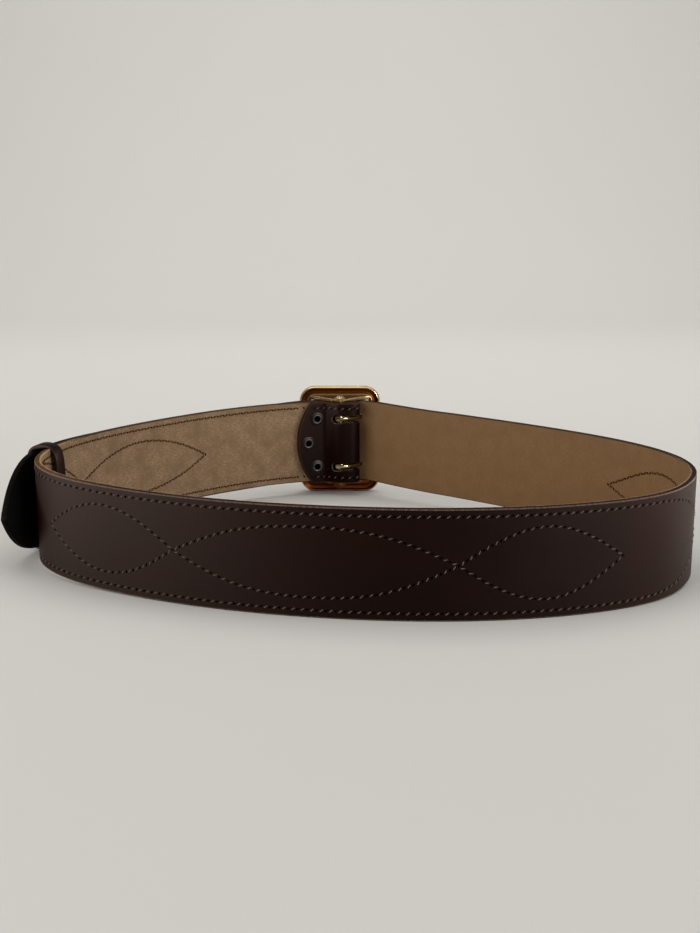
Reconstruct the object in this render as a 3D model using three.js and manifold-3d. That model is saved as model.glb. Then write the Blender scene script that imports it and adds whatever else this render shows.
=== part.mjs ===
// Double buckle belt: one wide leather strap, folded round the set-back bar of a brass
// two-prong buckle and fastened into a ring, with a keeper loop that holds its free end.
// It lies as it is put down, on the strap's lower edge in front and on the buckle behind.
// Millimetres, +Z up, +Y from the front of the ring to the buckle behind it. The origin is
// under the middle of the belt's box.

import * as THREE from 'three';
import { mergeVertices } from 'three/addons/utils/BufferGeometryUtils.js';
import Module from 'manifold-3d';

const wasm = await Module();
wasm.setup();

// Leather strap
const STRAP = { width: 57, thickness: 3.6, bevel: 0.5 };
const LAYER_GAP = 0.5;                       // between strap layers that lie on each other
const FLAP_END_RADIUS = 45;                  // the D-shaped end inside the belt
const TIP = { length: 44, bluntness: 1.6 };  // pointed free end: taper, half width at its point

// Buckle, cast in one with its bar, which stands back towards the wearer
const BUCKLE = { width: 57, height: 76, corner: 11, x: -7.3, setBack: 12 };
const BAR = { y: 831, radius: 2.8 };
const WEB = { reach: 16, thickness: 2.8, nose: 3.4, root: 1, clear: 0.7 };  // at the bar's ends
const BAR_HEAD = { radius: 4, top: 1.2, height: 1.8 };          // closed over each web

// Prongs, one above and one below the strap's middle
const PRONG = { offset: 17, height: 3.2, thick: 2.4, edge: 0.5 };
const PRONG_RING = { inner: 3.2, outer: 5.3, height: 4, edge: 0.6 };
const SLOT = { left: -13.5, height: 6 };              // in the fold, round each prong's ring
const HOLES = { radius: 2.3, pitch: 25, pairs: 6 };   // spare pairs towards the tip
const CLEARANCE = 0.4;

// Snap fasteners that hold the flap on the strap
const SNAP = { flange: 4.65, barrel: 2.9, recess: 2.1, cap: 4.6, capHeight: 1, seat: 0.3 };
const SNAP_PLACES = [
  { name: 'upper', x: -23.5, offset: 17 },
  { name: 'middle', x: -29.7, offset: 0 },
  { name: 'lower', x: -23.5, offset: -17 },
];

// Keeper, and where it is along the ring from the fold
const KEEPER = { band: 9.5, thickness: 2, slack: 0.7, corner: 4, shoulder: 7, bore: 1.5, along: 238 };
const KEEPER_GAP = 4.6;  // the stiff free end stands this far off the strap in the keeper
const OVERLAP_START = 50;  // lengths along the ring: the free end lies on the strap from here
const LOOSENS = 160;       // and starts to leave it here

// How high the strap's lower edge stands off the ground, between two plan distances
const LIFT = { front: 572, back: 822, height: 9.5, ease: 0.15 };
const SINK = { share: 0.15, from: 15, to: 60 };  // the right side is less high, between plan x

// The outer layer hangs lower than the inner one: from past the buckle, between two lengths
// along the route, to the tip, between two lengths back from its point
const SAG = { depth: 1.6, from: 1066, to: 1130, tipFrom: 50, tipTo: 5 };

// Centre of the belt's box, from the camera-side point that the plan below is measured from
const CENTRE = { x: -0.969, y: 704.277 };

// Plan of the strap's middle line, from the fold round the belt and through the buckle
const FOLD = { x: -1, y: 831, radius: 5.2 };
const FLAP = { end: 39, parts: 20, round: 6.5 };  // lengths along the ring, back to the bar
const LOOP = [
  { x: -8, y: 836 },        // outside of the bar
  { x: -25, y: 832.7 },     // under the snaps
  { x: -48.3, y: 823.8 },
  { x: -70, y: 811.2 },     // back, left of the buckle
  { x: -109.6, y: 780.5 },
  { x: -144.9, y: 745.5 },
  { x: -171.8, y: 703.4 },  // at the keeper
  { x: -177.5, y: 679.4 },  // left bend
  { x: -173.7, y: 654.6 },
  { x: -160.2, y: 633.7 },
  { x: -120, y: 604.6 },    // front
  { x: -74.6, y: 583.5 },
  { x: -26.7, y: 569.4 },
  { x: 22.6, y: 562.3 },
  { x: 72.6, y: 563.2 },
  { x: 121.4, y: 574.3 },
  { x: 144.3, y: 584.3 },
  { x: 164.6, y: 598.9 },   // right bend
  { x: 179.2, y: 618.8 },
  { x: 188, y: 642.5 },
  { x: 188, y: 667.3 },
  { x: 179.4, y: 690.6 },
  { x: 165, y: 711.6 },
  { x: 128.9, y: 746.8 },   // back, right of the buckle
  { x: 89.7, y: 777.5 },
  { x: 49.1, y: 807 },
];
const THROUGH_BUCKLE = [
  { x: 21.1, y: 829 },      // inside the buckle's right side
  { x: 9.8, y: 838.2 },     // where the prongs come through
  { x: 0, y: 840.3 },
  { x: -10, y: 840.3 },     // over the fold
  { x: -20, y: 839.6 },
  { x: -30, y: 837.9 },     // inside the buckle's left side
];
const FREE_END = [{ x: -189, y: 663.5 }, { x: -191.1, y: 640.5 }];
const PRONG_ROUTE = [
  { x: -7.3, y: 826.8 },    // off the ring, on the wearer's side of the bar
  { x: -2.5, y: 827.6 },
  { x: 3, y: 831.8 },
  { x: 7.6, y: 838 },       // through the strap
  { x: 11, y: 845.6 },
  { x: 14.6, y: 847.5 },
  { x: 21.4, y: 847.4 },    // on the front of the buckle's right side
];

const FINISH = {
  leather: { color: 0x2b1715, roughness: 0.35, metalness: 0 },
  brass: { color: 0xb98a3e, roughness: 0.25, metalness: 1 },
  gunmetal: { color: 0x3d4146, roughness: 0.4, metalness: 1 },
};

const halfWidth = STRAP.width / 2;
const halfThick = STRAP.thickness / 2;
const bothLayers = 2 * STRAP.thickness + LAYER_GAP;
const capOuter = bothLayers + SNAP.seat + SNAP.capHeight;
const beltMiddle = halfWidth + LIFT.height;  // height of the strap's middle at the buckle

/** How high the strap's lower edge is at a plan point: none in front, all at the buckle. */
function liftAt({ x, y }) {
  const height = LIFT.height * (1 - SINK.share * THREE.MathUtils.smoothstep(x, SINK.from, SINK.to));
  const t = THREE.MathUtils.clamp((y - LIFT.front) / (LIFT.back - LIFT.front), 0, 1);
  const bend = (u) => u * u / (2 * LIFT.ease * (1 - LIFT.ease));
  if (t < LIFT.ease) return height * bend(t);
  if (t > 1 - LIFT.ease) return height * (1 - bend(1 - t));
  return height * (t - LIFT.ease / 2) / (1 - LIFT.ease);
}

/** Second derivatives of a natural cubic spline through values at the given knots. */
function splineBends(knots, values) {
  const last = knots.length - 1;
  const bends = new Array(last + 1).fill(0);
  const carry = new Array(last + 1).fill(0);
  for (let i = 1; i < last; i++) {
    const before = knots[i] - knots[i - 1];
    const after = knots[i + 1] - knots[i];
    const turn = (values[i + 1] - values[i]) / after - (values[i] - values[i - 1]) / before;
    const pivot = 2 * (before + after) - before * carry[i - 1];
    carry[i] = after / pivot;
    bends[i] = (6 * turn - before * bends[i - 1]) / pivot;
  }
  for (let i = last - 1; i > 0; i--) bends[i] -= carry[i] * bends[i + 1];
  return bends;
}

/** A smooth plan curve through points: a natural cubic spline over their chord length. */
class PlanCurve extends THREE.Curve {
  constructor(points) {
    super();
    this.arcLengthDivisions = 6000;
    this.points = points;
    this.knots = [0];
    for (let i = 1; i < points.length; i++) {
      const step = Math.hypot(points[i].x - points[i - 1].x, points[i].y - points[i - 1].y);
      this.knots.push(this.knots[i - 1] + step);
    }
    this.bends = {
      x: splineBends(this.knots, points.map((p) => p.x)),
      y: splineBends(this.knots, points.map((p) => p.y)),
    };
  }

  getPoint(t, target = new THREE.Vector3()) {
    const { knots, points, bends } = this;
    const place = t * knots[knots.length - 1];
    let i = 1;
    while (i < knots.length - 1 && knots[i] < place) i++;
    const step = knots[i] - knots[i - 1];
    const a = (knots[i] - place) / step;
    const b = 1 - a;
    const along = (axis) => a * points[i - 1][axis] + b * points[i][axis]
      + ((a ** 3 - a) * bends[axis][i - 1] + (b ** 3 - b) * bends[axis][i]) * step * step / 6;
    return target.set(along('x'), along('y'), 0);
  }

  /** Point and sideways direction (to the left of the way along) at a length along it. */
  at(length) {
    const u = THREE.MathUtils.clamp(length / this.getLength(), 0, 1);
    const ahead = this.getTangentAt(u);
    return { point: this.getPointAt(u), side: new THREE.Vector3(-ahead.y, ahead.x, 0) };
  }
}

/** The strap's whole route: flap, fold, ring, through the buckle, outside the ring, tip. */
function strapRoute() {
  const fold = [];
  for (let angle = -90; angle <= 90; angle += 22.5) {
    const turn = THREE.MathUtils.degToRad(angle);
    fold.push({
      x: FOLD.x + FOLD.radius * Math.cos(turn),
      y: FOLD.y + FOLD.radius * Math.sin(turn),
    });
  }
  const ring = new PlanCurve([fold[fold.length - 1], ...LOOP]);
  const follow = (from, to, standOff) => Array.from({ length: 13 }, (_, i) => {
    const s = from + (to - from) * i / 12;
    const { point, side } = ring.at(s);
    return point.addScaledVector(side, standOff(s));
  });
  const layer = STRAP.thickness + LAYER_GAP;
  const { smoothstep } = THREE.MathUtils;
  const flap = follow(FLAP.end, FLAP.round, (s) => 2 * FOLD.radius
    + (layer - 2 * FOLD.radius) * smoothstep(s, FLAP.round, FLAP.parts));
  const overlap = follow(OVERLAP_START, KEEPER.along, (s) => -layer
    - (KEEPER_GAP - LAYER_GAP) * smoothstep(s, LOOSENS, KEEPER.along));
  const start = [...flap, ...fold];
  const route = new PlanCurve([...start, ...LOOP, ...THROUGH_BUCKLE, ...overlap, ...FREE_END]);
  return { route, ring };
}

const { route, ring } = strapRoute();
const routeLength = route.getLength();

/** Height of the strap's middle at a length along the route, whose plan point is given. */
function middleAt(s, point) {
  const { smoothstep } = THREE.MathUtils;
  const sunk = smoothstep(s, SAG.from, SAG.to);
  const level = smoothstep(s, routeLength - SAG.tipFrom, routeLength - SAG.tipTo);
  return halfWidth + liftAt(point) - SAG.depth * sunk * (1 - level);
}

/** Length along the route, within a range of it, at which it comes nearest to a plan x. */
function lengthAtX(x, from, to) {
  let best = from;
  let miss = Infinity;
  for (let s = from; s <= to; s += 0.1) {
    const off = Math.abs(route.at(s).point.x - x);
    if (off < miss) {
      miss = off;
      best = s;
    }
  }
  return best;
}

/** The strap's half width at a length along it, less at the flap's and the tip's ends. */
function halfWidthAt(s) {
  if (s < FLAP_END_RADIUS) {
    const round = Math.sqrt(FLAP_END_RADIUS ** 2 - (FLAP_END_RADIUS - s) ** 2);
    if (round < halfWidth) return Math.max(round, TIP.bluntness);
  }
  const toTip = routeLength - s;
  if (toTip < TIP.length) {
    const arc = (TIP.length ** 2 + halfWidth ** 2) / STRAP.width;
    const taper = halfWidth - arc + Math.sqrt(arc ** 2 - (TIP.length - toTip) ** 2);
    return Math.max(taper, TIP.bluntness);
  }
  return halfWidth;
}

/** Lengths along the route at which the strap has a section, closer where it bends. */
function stations() {
  const list = [];
  const round = Math.asin(halfWidth / FLAP_END_RADIUS);
  for (let i = 0; i <= 7; i++) list.push(FLAP_END_RADIUS * (1 - Math.cos(round * i / 7)));
  let s = list[list.length - 1];
  const taperStart = routeLength - TIP.length;
  while (s < taperStart - 5) {
    const turn = route.at(s).side.angleTo(route.at(s + 2).side) / 2;
    s += THREE.MathUtils.clamp(0.17 / Math.max(turn, 1e-6), 1.3, 7);
    list.push(Math.min(s, taperStart));
  }
  for (let i = 1; i <= 10; i++) list.push(taperStart + TIP.length * (1 - (1 - i / 10) ** 1.4));
  return list.filter((value, i) => i === 0 || value - list[i - 1] > 0.05);
}

/** A closed body from rings of points: walls between neighbours, and caps unless closed. */
function loft(rings, closed) {
  const count = rings[0].length;
  const positions = rings.flat().flatMap((p) => [p.x, p.y, p.z]);
  const index = [];
  const spans = closed ? rings.length : rings.length - 1;
  for (let i = 0; i < spans; i++) {
    const next = (i + 1) % rings.length;
    for (let j = 0; j < count; j++) {
      const k = (j + 1) % count;
      const [a, b, c, d] = [i * count + j, i * count + k, next * count + k, next * count + j];
      index.push(a, c, b, a, d, c);
    }
  }
  if (!closed) {
    const last = (rings.length - 1) * count;
    for (let j = 1; j < count - 1; j++) index.push(0, j, j + 1, last, last + j + 1, last + j);
  }
  const geometry = new THREE.BufferGeometry();
  geometry.setAttribute('position', new THREE.Float32BufferAttribute(positions, 3));
  geometry.setIndex(index);
  return geometry;
}

/** A section's outline with its corners cut: half sizes across and up, and the cut. */
function bevelled(across, up, cut) {
  return [
    [-across, cut - up], [-across, up - cut], [cut - across, up], [across - cut, up],
    [across, up - cut], [across, cut - up], [across - cut, -up], [cut - across, -up],
  ];
}

/** Turns a geometry into a solid that can be joined and cut. */
function solid(geometry) {
  const bare = geometry.clone();
  bare.deleteAttribute('normal');
  bare.deleteAttribute('uv');
  const merged = mergeVertices(bare, 1e-5);
  return new wasm.Manifold(new wasm.Mesh({
    numProp: 3,
    vertProperties: new Float32Array(merged.attributes.position.array),
    triVerts: new Uint32Array(merged.index.array),
  }));
}

/** Turns a solid back into a geometry. */
function geometryOf(body) {
  const mesh = body.getMesh();
  const geometry = new THREE.BufferGeometry();
  geometry.setAttribute('position', new THREE.BufferAttribute(mesh.vertProperties, 3));
  geometry.setIndex(new THREE.BufferAttribute(mesh.triVerts, 1));
  geometry.computeVertexNormals();
  return geometry;
}

/** A cylinder across the strap at a length along it and a height from its middle. */
function punch(radius, s, offset, depth, aside = 0) {
  const { point, side } = route.at(s);
  point.addScaledVector(side, aside);
  const cylinder = new THREE.CylinderGeometry(radius, radius, depth, 16);
  const turn = new THREE.Quaternion().setFromUnitVectors(new THREE.Vector3(0, 1, 0), side);
  cylinder.applyQuaternion(turn);
  cylinder.translate(point.x, point.y, middleAt(s, point) + offset);
  return solid(cylinder);
}

/** Lengths that follow from the route: snaps on the flap, and the prongs' own holes. */
const flapLength = lengthAtX(FOLD.x, 20, 60);
const buckleStart = ring.getLength() + flapLength;
const prongLength = lengthAtX(THROUGH_BUCKLE[1].x, buckleStart, buckleStart + 60);
const snapLength = (place) => lengthAtX(place.x, 0, flapLength);

/** The strap: the section carried along the route, then slotted and punched. */
function strap() {
  const rings = stations().map((s) => {
    const { point, side } = route.at(s);
    const middle = middleAt(s, point);
    return bevelled(halfThick, halfWidthAt(s), STRAP.bevel)
      .map(([across, up]) => point.clone().addScaledVector(side, across).setZ(middle + up));
  });
  let body = solid(loft(rings, false));
  for (const up of [PRONG.offset, -PRONG.offset]) {
    body = body.subtract(foldSlot(up)).subtract(prongShaft(up, CLEARANCE));
    for (let i = 1; i <= HOLES.pairs; i++) {
      const through = STRAP.thickness + 1.4 * LAYER_GAP;
      body = body.subtract(punch(HOLES.radius, prongLength + i * HOLES.pitch, up, through));
    }
  }
  for (const place of SNAP_PLACES) {
    const cuts = [
      { radius: SNAP.barrel, from: -1, to: bothLayers + 1 },
      { radius: SNAP.flange, from: -2, to: 0 },               // pressed flat under the flange
      { radius: SNAP.cap, from: bothLayers, to: capOuter + CLEARANCE },
    ];
    for (const { radius, from, to } of cuts) {
      const aside = (from + to) / 2 - halfThick;
      const length = snapLength(place);
      body = body.subtract(punch(radius + CLEARANCE, length, place.offset, to - from, aside));
    }
  }
  return geometryOf(body);
}

/** The slot through both layers of the fold that a prong's ring stands in. */
function foldSlot(up) {
  const reach = FOLD.radius + halfThick + CLEARANCE;
  const outline = new THREE.Shape();
  outline.moveTo(SLOT.left, FOLD.y - reach - 1);
  outline.lineTo(FOLD.x, FOLD.y - reach - 1);
  outline.absarc(FOLD.x, FOLD.y, reach, -Math.PI / 2, Math.PI / 2, false);
  outline.lineTo(SLOT.left, FOLD.y + reach);
  const slot = new THREE.ExtrudeGeometry(outline, {
    depth: SLOT.height, bevelEnabled: false, curveSegments: 10,
  });
  slot.translate(0, 0, beltMiddle + up - SLOT.height / 2);
  return solid(slot);
}

/** The buckle's section, from its outer edge inwards: depth in, and across from its middle. */
const FRAME_SECTION = [
  { inward: 0, across: -1.2 },
  { inward: 0.8, across: -2.75 },   // outer rim
  { inward: 1.7, across: -2.6 },
  { inward: 2.2, across: -1.5 },    // hollow of the back
  { inward: 4.5, across: -1.3 },
  { inward: 5.2, across: -2.2 },    // inner rim
  { inward: 6.2, across: -2.4 },
  { inward: 7.4, across: -1.8 },
  { inward: 8, across: -0.6 },
  { inward: 8, across: 0.8 },
  { inward: 6.9, across: 2.2 },     // domed front
  { inward: 5, across: 2.75 },
  { inward: 3, across: 2.75 },
  { inward: 1.1, across: 2.2 },
  { inward: 0, across: 1 },
];

/** The buckle: a closed frame, and a round bar between two webs, cast in one. */
function buckleFrame() {
  const middleY = BAR.y + BUCKLE.setBack;
  const halves = { x: BUCKLE.width / 2 - BUCKLE.corner, z: BUCKLE.height / 2 - BUCKLE.corner };
  const rings = [];
  const steps = 6;
  for (let corner = 0; corner < 4; corner++) {
    for (let i = 0; i <= steps; i++) {
      const angle = (corner + i / steps) * Math.PI / 2;
      const out = new THREE.Vector3(Math.cos(angle), 0, Math.sin(angle));
      const right = corner === 0 || corner === 3;
      const upper = corner < 2;
      const hub = new THREE.Vector3(
        BUCKLE.x + (right ? halves.x : -halves.x),
        middleY,
        beltMiddle + (upper ? halves.z : -halves.z),
      );
      rings.push(FRAME_SECTION.map(({ inward, across }) => hub.clone()
        .addScaledVector(out, BUCKLE.corner - inward)
        .add(new THREE.Vector3(0, across, 0))));
    }
  }
  let body = solid(loft(rings, true));

  const clear = halfWidth + WEB.clear;
  const bar = new THREE.CylinderGeometry(BAR.radius, BAR.radius, 2 * clear + 2, 20);
  bar.rotateX(Math.PI / 2);
  bar.translate(BUCKLE.x, BAR.y, beltMiddle);
  body = body.add(solid(bar));
  for (const side of [1, -1]) {
    const web = new THREE.ExtrudeGeometry(webOutline(), {
      depth: WEB.thickness, bevelEnabled: false, curveSegments: 8,
    });
    const low = side > 0 ? clear : -clear - WEB.thickness;
    web.translate(BUCKLE.x, BAR.y, beltMiddle + low);
    const head = new THREE.CylinderGeometry(BAR_HEAD.top, BAR_HEAD.radius, BAR_HEAD.height, 4);
    head.rotateX(side * Math.PI / 2);
    const rise = clear + WEB.thickness + BAR_HEAD.height / 2 - 0.05;
    head.translate(BUCKLE.x, BAR.y, beltMiddle + side * rise);
    body = body.add(solid(web)).add(solid(head));
  }
  return geometryOf(body);
}

/** A web's outline, from the bar's centre: a V whose nose goes round the bar. */
function webOutline() {
  const back = BUCKLE.setBack - 2;
  const reach = Math.hypot(WEB.reach, back);
  const lean = Math.atan2(back, WEB.reach) - Math.acos(WEB.nose / reach);
  const outline = new THREE.Shape();
  outline.moveTo(WEB.reach, BUCKLE.setBack + WEB.root);
  outline.lineTo(-WEB.reach, BUCKLE.setBack + WEB.root);
  outline.lineTo(-WEB.reach, back);
  outline.absarc(0, 0, WEB.nose, Math.PI - lean, 2 * Math.PI + lean, false);
  outline.lineTo(WEB.reach, back);
  return outline;
}

/** A prong's shaft, from the ring through the strap to the frame, grown by a margin. */
function prongShaft(up, margin) {
  const line = new PlanCurve(PRONG_ROUTE);
  const length = line.getLength();
  const steps = 16;
  const rings = [];
  for (let i = 0; i <= steps; i++) {
    const { point, side } = line.at(length * i / steps);
    const slim = i === steps ? 0.45 : 1 - 0.2 * i / steps;
    const half = { across: PRONG.thick / 2 * slim + margin, high: PRONG.height / 2 * slim + margin };
    rings.push(bevelled(half.across, half.high, PRONG.edge).map(([across, high]) => point.clone()
      .addScaledVector(side, across).setZ(beltMiddle + up + high)));
  }
  return solid(loft(rings, false));
}

/** A prong: a ring that turns on the bar, with its shaft. */
function prong(up) {
  const { inner, outer, edge } = PRONG_RING;
  const half = PRONG_RING.height / 2;
  const profile = [
    [inner, -half], [outer - edge, -half], [outer, edge - half], [outer, half - edge],
    [outer - edge, half], [inner, half], [inner, -half],
  ].map(([radius, height]) => new THREE.Vector2(radius, height));
  const loop = new THREE.LatheGeometry(profile, 24);
  loop.rotateX(Math.PI / 2);
  loop.translate(BUCKLE.x, BAR.y, beltMiddle + up);
  const bore = new THREE.CylinderGeometry(inner, inner, 2 * PRONG.height, 24);
  bore.rotateX(Math.PI / 2);
  bore.translate(BUCKLE.x, BAR.y, beltMiddle + up);
  return geometryOf(solid(loop).add(prongShaft(up, 0).subtract(solid(bore))));
}

/** Puts a turned piece on the flap: its axis across the strap, its zero on the flap's face. */
function onFlap(geometry, place) {
  const s = snapLength(place);
  const { point, side } = route.at(s);
  geometry.applyQuaternion(new THREE.Quaternion()
    .setFromUnitVectors(new THREE.Vector3(0, 1, 0), side.clone().negate()));
  const face = point.clone().addScaledVector(side, -halfThick);
  geometry.translate(face.x, face.y, middleAt(s, point) + place.offset);
  return geometry;
}

/** A snap's inner half: a flange with a raised ring, a recess and a barrel through the leather. */
function snapPost(place) {
  const outline = [
    [0, -1.2], [SNAP.recess, -1.2], [SNAP.recess, 0.9], [2.6, 1.3], [3.3, 1.3], [3.9, 0.8],
    [SNAP.flange, 0.6], [SNAP.flange, SNAP.seat], [SNAP.barrel, SNAP.seat],
    [SNAP.barrel, -bothLayers], [0, -bothLayers],
  ];
  return onFlap(turned(outline), place);
}

/** A snap's outer half: a low cap on the strap's outer face, under the free end. */
function snapCap(place) {
  const near = -bothLayers - SNAP.seat;
  const far = -capOuter;
  const outline = [
    [0, near], [SNAP.cap, near], [SNAP.cap, near - 0.6], [SNAP.cap - 1, far], [0, far],
  ];
  return onFlap(turned(outline), place);
}

/** A body of revolution from radius and height pairs that start and end on the axis. */
function turned(outline) {
  const points = outline.map(([radius, height]) => new THREE.Vector2(radius, height));
  return geometryOf(solid(new THREE.LatheGeometry(points.reverse(), 20)));
}

/** The keeper: a leather band bent round the strap and the free end outside it. */
function keeperLoop() {
  const { point, side } = ring.at(KEEPER.along);
  const inner = {
    left: -(halfThick + KEEPER.slack),
    right: halfThick + KEEPER_GAP + STRAP.thickness + KEEPER.slack,
    up: halfWidth + KEEPER.slack + SAG.depth / 2,
  };
  const outline = keeperOutline(inner, KEEPER.thickness, KEEPER.corner, KEEPER.shoulder);
  outline.holes.push(keeperOutline(inner, 0, KEEPER.bore, KEEPER.bore));
  const band = new THREE.ExtrudeGeometry(outline, {
    depth: KEEPER.band, bevelEnabled: false, curveSegments: 5,
  });
  band.translate(0, 0, -KEEPER.band / 2);
  band.rotateX(Math.PI / 2);
  band.rotateZ(Math.atan2(-side.y, -side.x));
  band.translate(point.x, point.y, halfWidth + liftAt(point) - SAG.depth / 2);
  return geometryOf(solid(band));
}

/** A rectangle round the keeper's opening, with one corner radius inside, one outside. */
function keeperOutline(inner, grow, near, far) {
  const left = inner.left - grow;
  const right = inner.right + grow;
  const up = inner.up + grow;
  const outline = new THREE.Shape();
  outline.absarc(right - far, up - far, far, 0, Math.PI / 2, false);
  outline.absarc(left + near, up - near, near, Math.PI / 2, Math.PI, false);
  outline.absarc(left + near, near - up, near, Math.PI, 1.5 * Math.PI, false);
  outline.absarc(right - far, far - up, far, 1.5 * Math.PI, 2 * Math.PI, false);
  return outline;
}

/** A named piece in its finish. */
function piece(name, geometry, finish) {
  const mesh = new THREE.Mesh(geometry, new THREE.MeshStandardMaterial(FINISH[finish]));
  mesh.name = name;
  return mesh;
}

const belt = new THREE.Group();
belt.position.set(-CENTRE.x, -CENTRE.y, 0);
belt.add(
  piece('strap', strap(), 'leather'),
  piece('keeper_loop', keeperLoop(), 'leather'),
  piece('buckle_frame', buckleFrame(), 'brass'),
  piece('prong_upper', prong(PRONG.offset), 'brass'),
  piece('prong_lower', prong(-PRONG.offset), 'brass'),
);
for (const place of SNAP_PLACES) {
  belt.add(piece(`snap_${place.name}`, snapPost(place), 'gunmetal'));
  belt.add(piece(`snap_cap_${place.name}`, snapCap(place), 'gunmetal'));
}

const model = new THREE.Group();
model.add(belt);

export default model;
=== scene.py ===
"""Double buckle belt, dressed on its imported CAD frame.

A wide bridle leather strap is folded round the bar of a brass two-prong buckle, held by three
snaps and fastened into a ring that lies on its lower edge. The strap is worked out in its own
coordinates, in millimetres: s along it from the end of the flap, v above its middle line and w
from its middle towards the flesh side, which faces the wearer. Holes, stitches and the colours
of the leather are placed in the same coordinates.
"""

import bmesh
import bpy
import numpy as np
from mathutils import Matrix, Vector


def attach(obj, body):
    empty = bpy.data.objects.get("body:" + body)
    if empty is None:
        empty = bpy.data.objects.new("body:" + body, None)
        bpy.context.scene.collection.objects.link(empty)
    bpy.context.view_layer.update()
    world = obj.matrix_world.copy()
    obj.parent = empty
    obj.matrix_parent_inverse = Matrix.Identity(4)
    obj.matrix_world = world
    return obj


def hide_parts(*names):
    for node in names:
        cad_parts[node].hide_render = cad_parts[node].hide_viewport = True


bl_info = {
    "name": "Double buckle belt",
    "version": (1, 0, 0),
    "blender": (4, 5, 0),
    "location": "3D View > Sidebar > Belt",
    "description": "Wide leather belt with a brass two-prong buckle, fastened into a ring",
    "category": "Object",
}

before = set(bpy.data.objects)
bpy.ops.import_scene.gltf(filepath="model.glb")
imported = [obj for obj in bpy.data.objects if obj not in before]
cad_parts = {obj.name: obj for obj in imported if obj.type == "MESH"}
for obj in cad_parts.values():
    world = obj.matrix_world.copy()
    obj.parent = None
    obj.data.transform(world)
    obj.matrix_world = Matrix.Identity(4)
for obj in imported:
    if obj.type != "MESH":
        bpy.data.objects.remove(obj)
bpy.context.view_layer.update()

# Plan of the belt, in millimetres

HALF_WIDTH = 28.5
HALF_THICK = 1.8
LAYER_GAP = 0.5
CENTRE = np.array([-0.969, 704.277, 0.0])  # the CAD's origin, in the plan's coordinates
LIFT = {"front": 572.0, "back": 822.0, "height": 9.5, "ease": 0.15}
SINK = {"share": 0.15, "from": 15.0, "to": 60.0}
SAG = {"depth": 1.6, "from": 1066.0, "to": 1130.0, "tip_from": 50.0, "tip_to": 5.0}
BELT_MIDDLE = HALF_WIDTH + LIFT["height"]

FOLD = {"x": -0.2, "y": 831.0, "radius": 5.2}
FLAP = {"end": 39.0, "parts": 20.0, "round": 6.5, "end_radius": 45.0}
LOOP = (
    (-8, 836), (-25, 832.7), (-48.3, 823.8), (-70, 811.2), (-109.6, 780.5), (-144.9, 745.5),
    (-171.8, 703.4), (-177.5, 679.4), (-173.7, 654.6), (-160.2, 633.7), (-120, 604.6),
    (-74.6, 583.5), (-26.7, 569.4), (22.6, 562.3), (72.6, 563.2), (121.4, 574.3),
    (144.3, 584.3), (164.6, 598.9), (179.2, 618.8), (188, 642.5), (188, 667.3),
    (179.4, 690.6), (165, 711.6), (128.9, 746.8), (89.7, 777.5), (49.1, 807),
)
THROUGH_BUCKLE = ((21.1, 829), (9.8, 838.2), (0, 840.3), (-10, 840.3), (-20, 839.6), (-30, 837.9))
FREE_END = ((-189, 663.5), (-191.1, 640.5))
OVERLAP = {"start": 50.0, "loosens": 160.0}
KEEPER_ALONG = 238.0
KEEPER_GAP = 4.6
TIP = {"length": 50.0, "nose": 2.4}

BUCKLE_X = -7.3
BUCKLE_Y = 843.0
BAR_Y = 831.0
PRONG_OFFSETS = (17.0, -17.0)
PRONG = {
    "ring_inner": 3.1, "ring_outer": 4.7, "ring_half": 2.0, "ring_corner": 0.7,
    "half_thick": 1.1, "half_high": 1.35, "corner": 0.9, "taper": 0.2, "tip_from": 0.93,
    "room": 0.35,
}
PRONG_ROUTE = (
    (-7.3, 826.8), (-2.5, 827.6), (3, 831.8), (7.6, 838), (11, 845.6), (14.6, 847.5),
    (21.4, 847.4),
)
SLOT = {"left": -11.9, "half_height": 3.0}
SPARE_HOLES = {"pairs": 6, "spacing": 25.0, "radius": 2.3}
SNAP_PLACES = {"upper": (-23.5, 17.0), "middle": (-29.7, 0.0), "lower": (-23.5, -17.0)}

# How many points stand for a curve where its length, a place on it or its turns are looked up
SAMPLES = {"curve": 24001, "search": 4001, "rows": 12001}


def lift(point):
    """How high the strap's lower edge is at plan points: a straight ramp along y whose two ends
    are parabolas, with a share taken off its height on the right of the buckle."""
    x, y = point[..., 0], point[..., 1]
    ease = LIFT["ease"]
    t = np.clip((y - LIFT["front"]) / (LIFT["back"] - LIFT["front"]), 0, 1)
    low = t**2 / (2 * ease * (1 - ease))
    high = 1 - (1 - t) ** 2 / (2 * ease * (1 - ease))
    ramp = (t - ease / 2) / (1 - ease)
    height = LIFT["height"] * (1 - SINK["share"] * smooth_step(x, SINK["from"], SINK["to"]))
    return height * np.where(t < ease, low, np.where(t > 1 - ease, high, ramp))


def smooth_step(x, low, high):
    """Nought below low, one above high, and 3u^2 - 2u^3 between them."""
    u = np.clip((x - low) / (high - low), 0, 1)
    return u * u * (3 - 2 * u)


def left_of(ahead):
    """Directions a quarter turn to the left of others."""
    return np.stack([-ahead[..., 1], ahead[..., 0]], -1)


def raised(plan, height):
    """Points in space from plan points and their heights."""
    return np.concatenate([plan, height[..., None]], -1)


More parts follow.
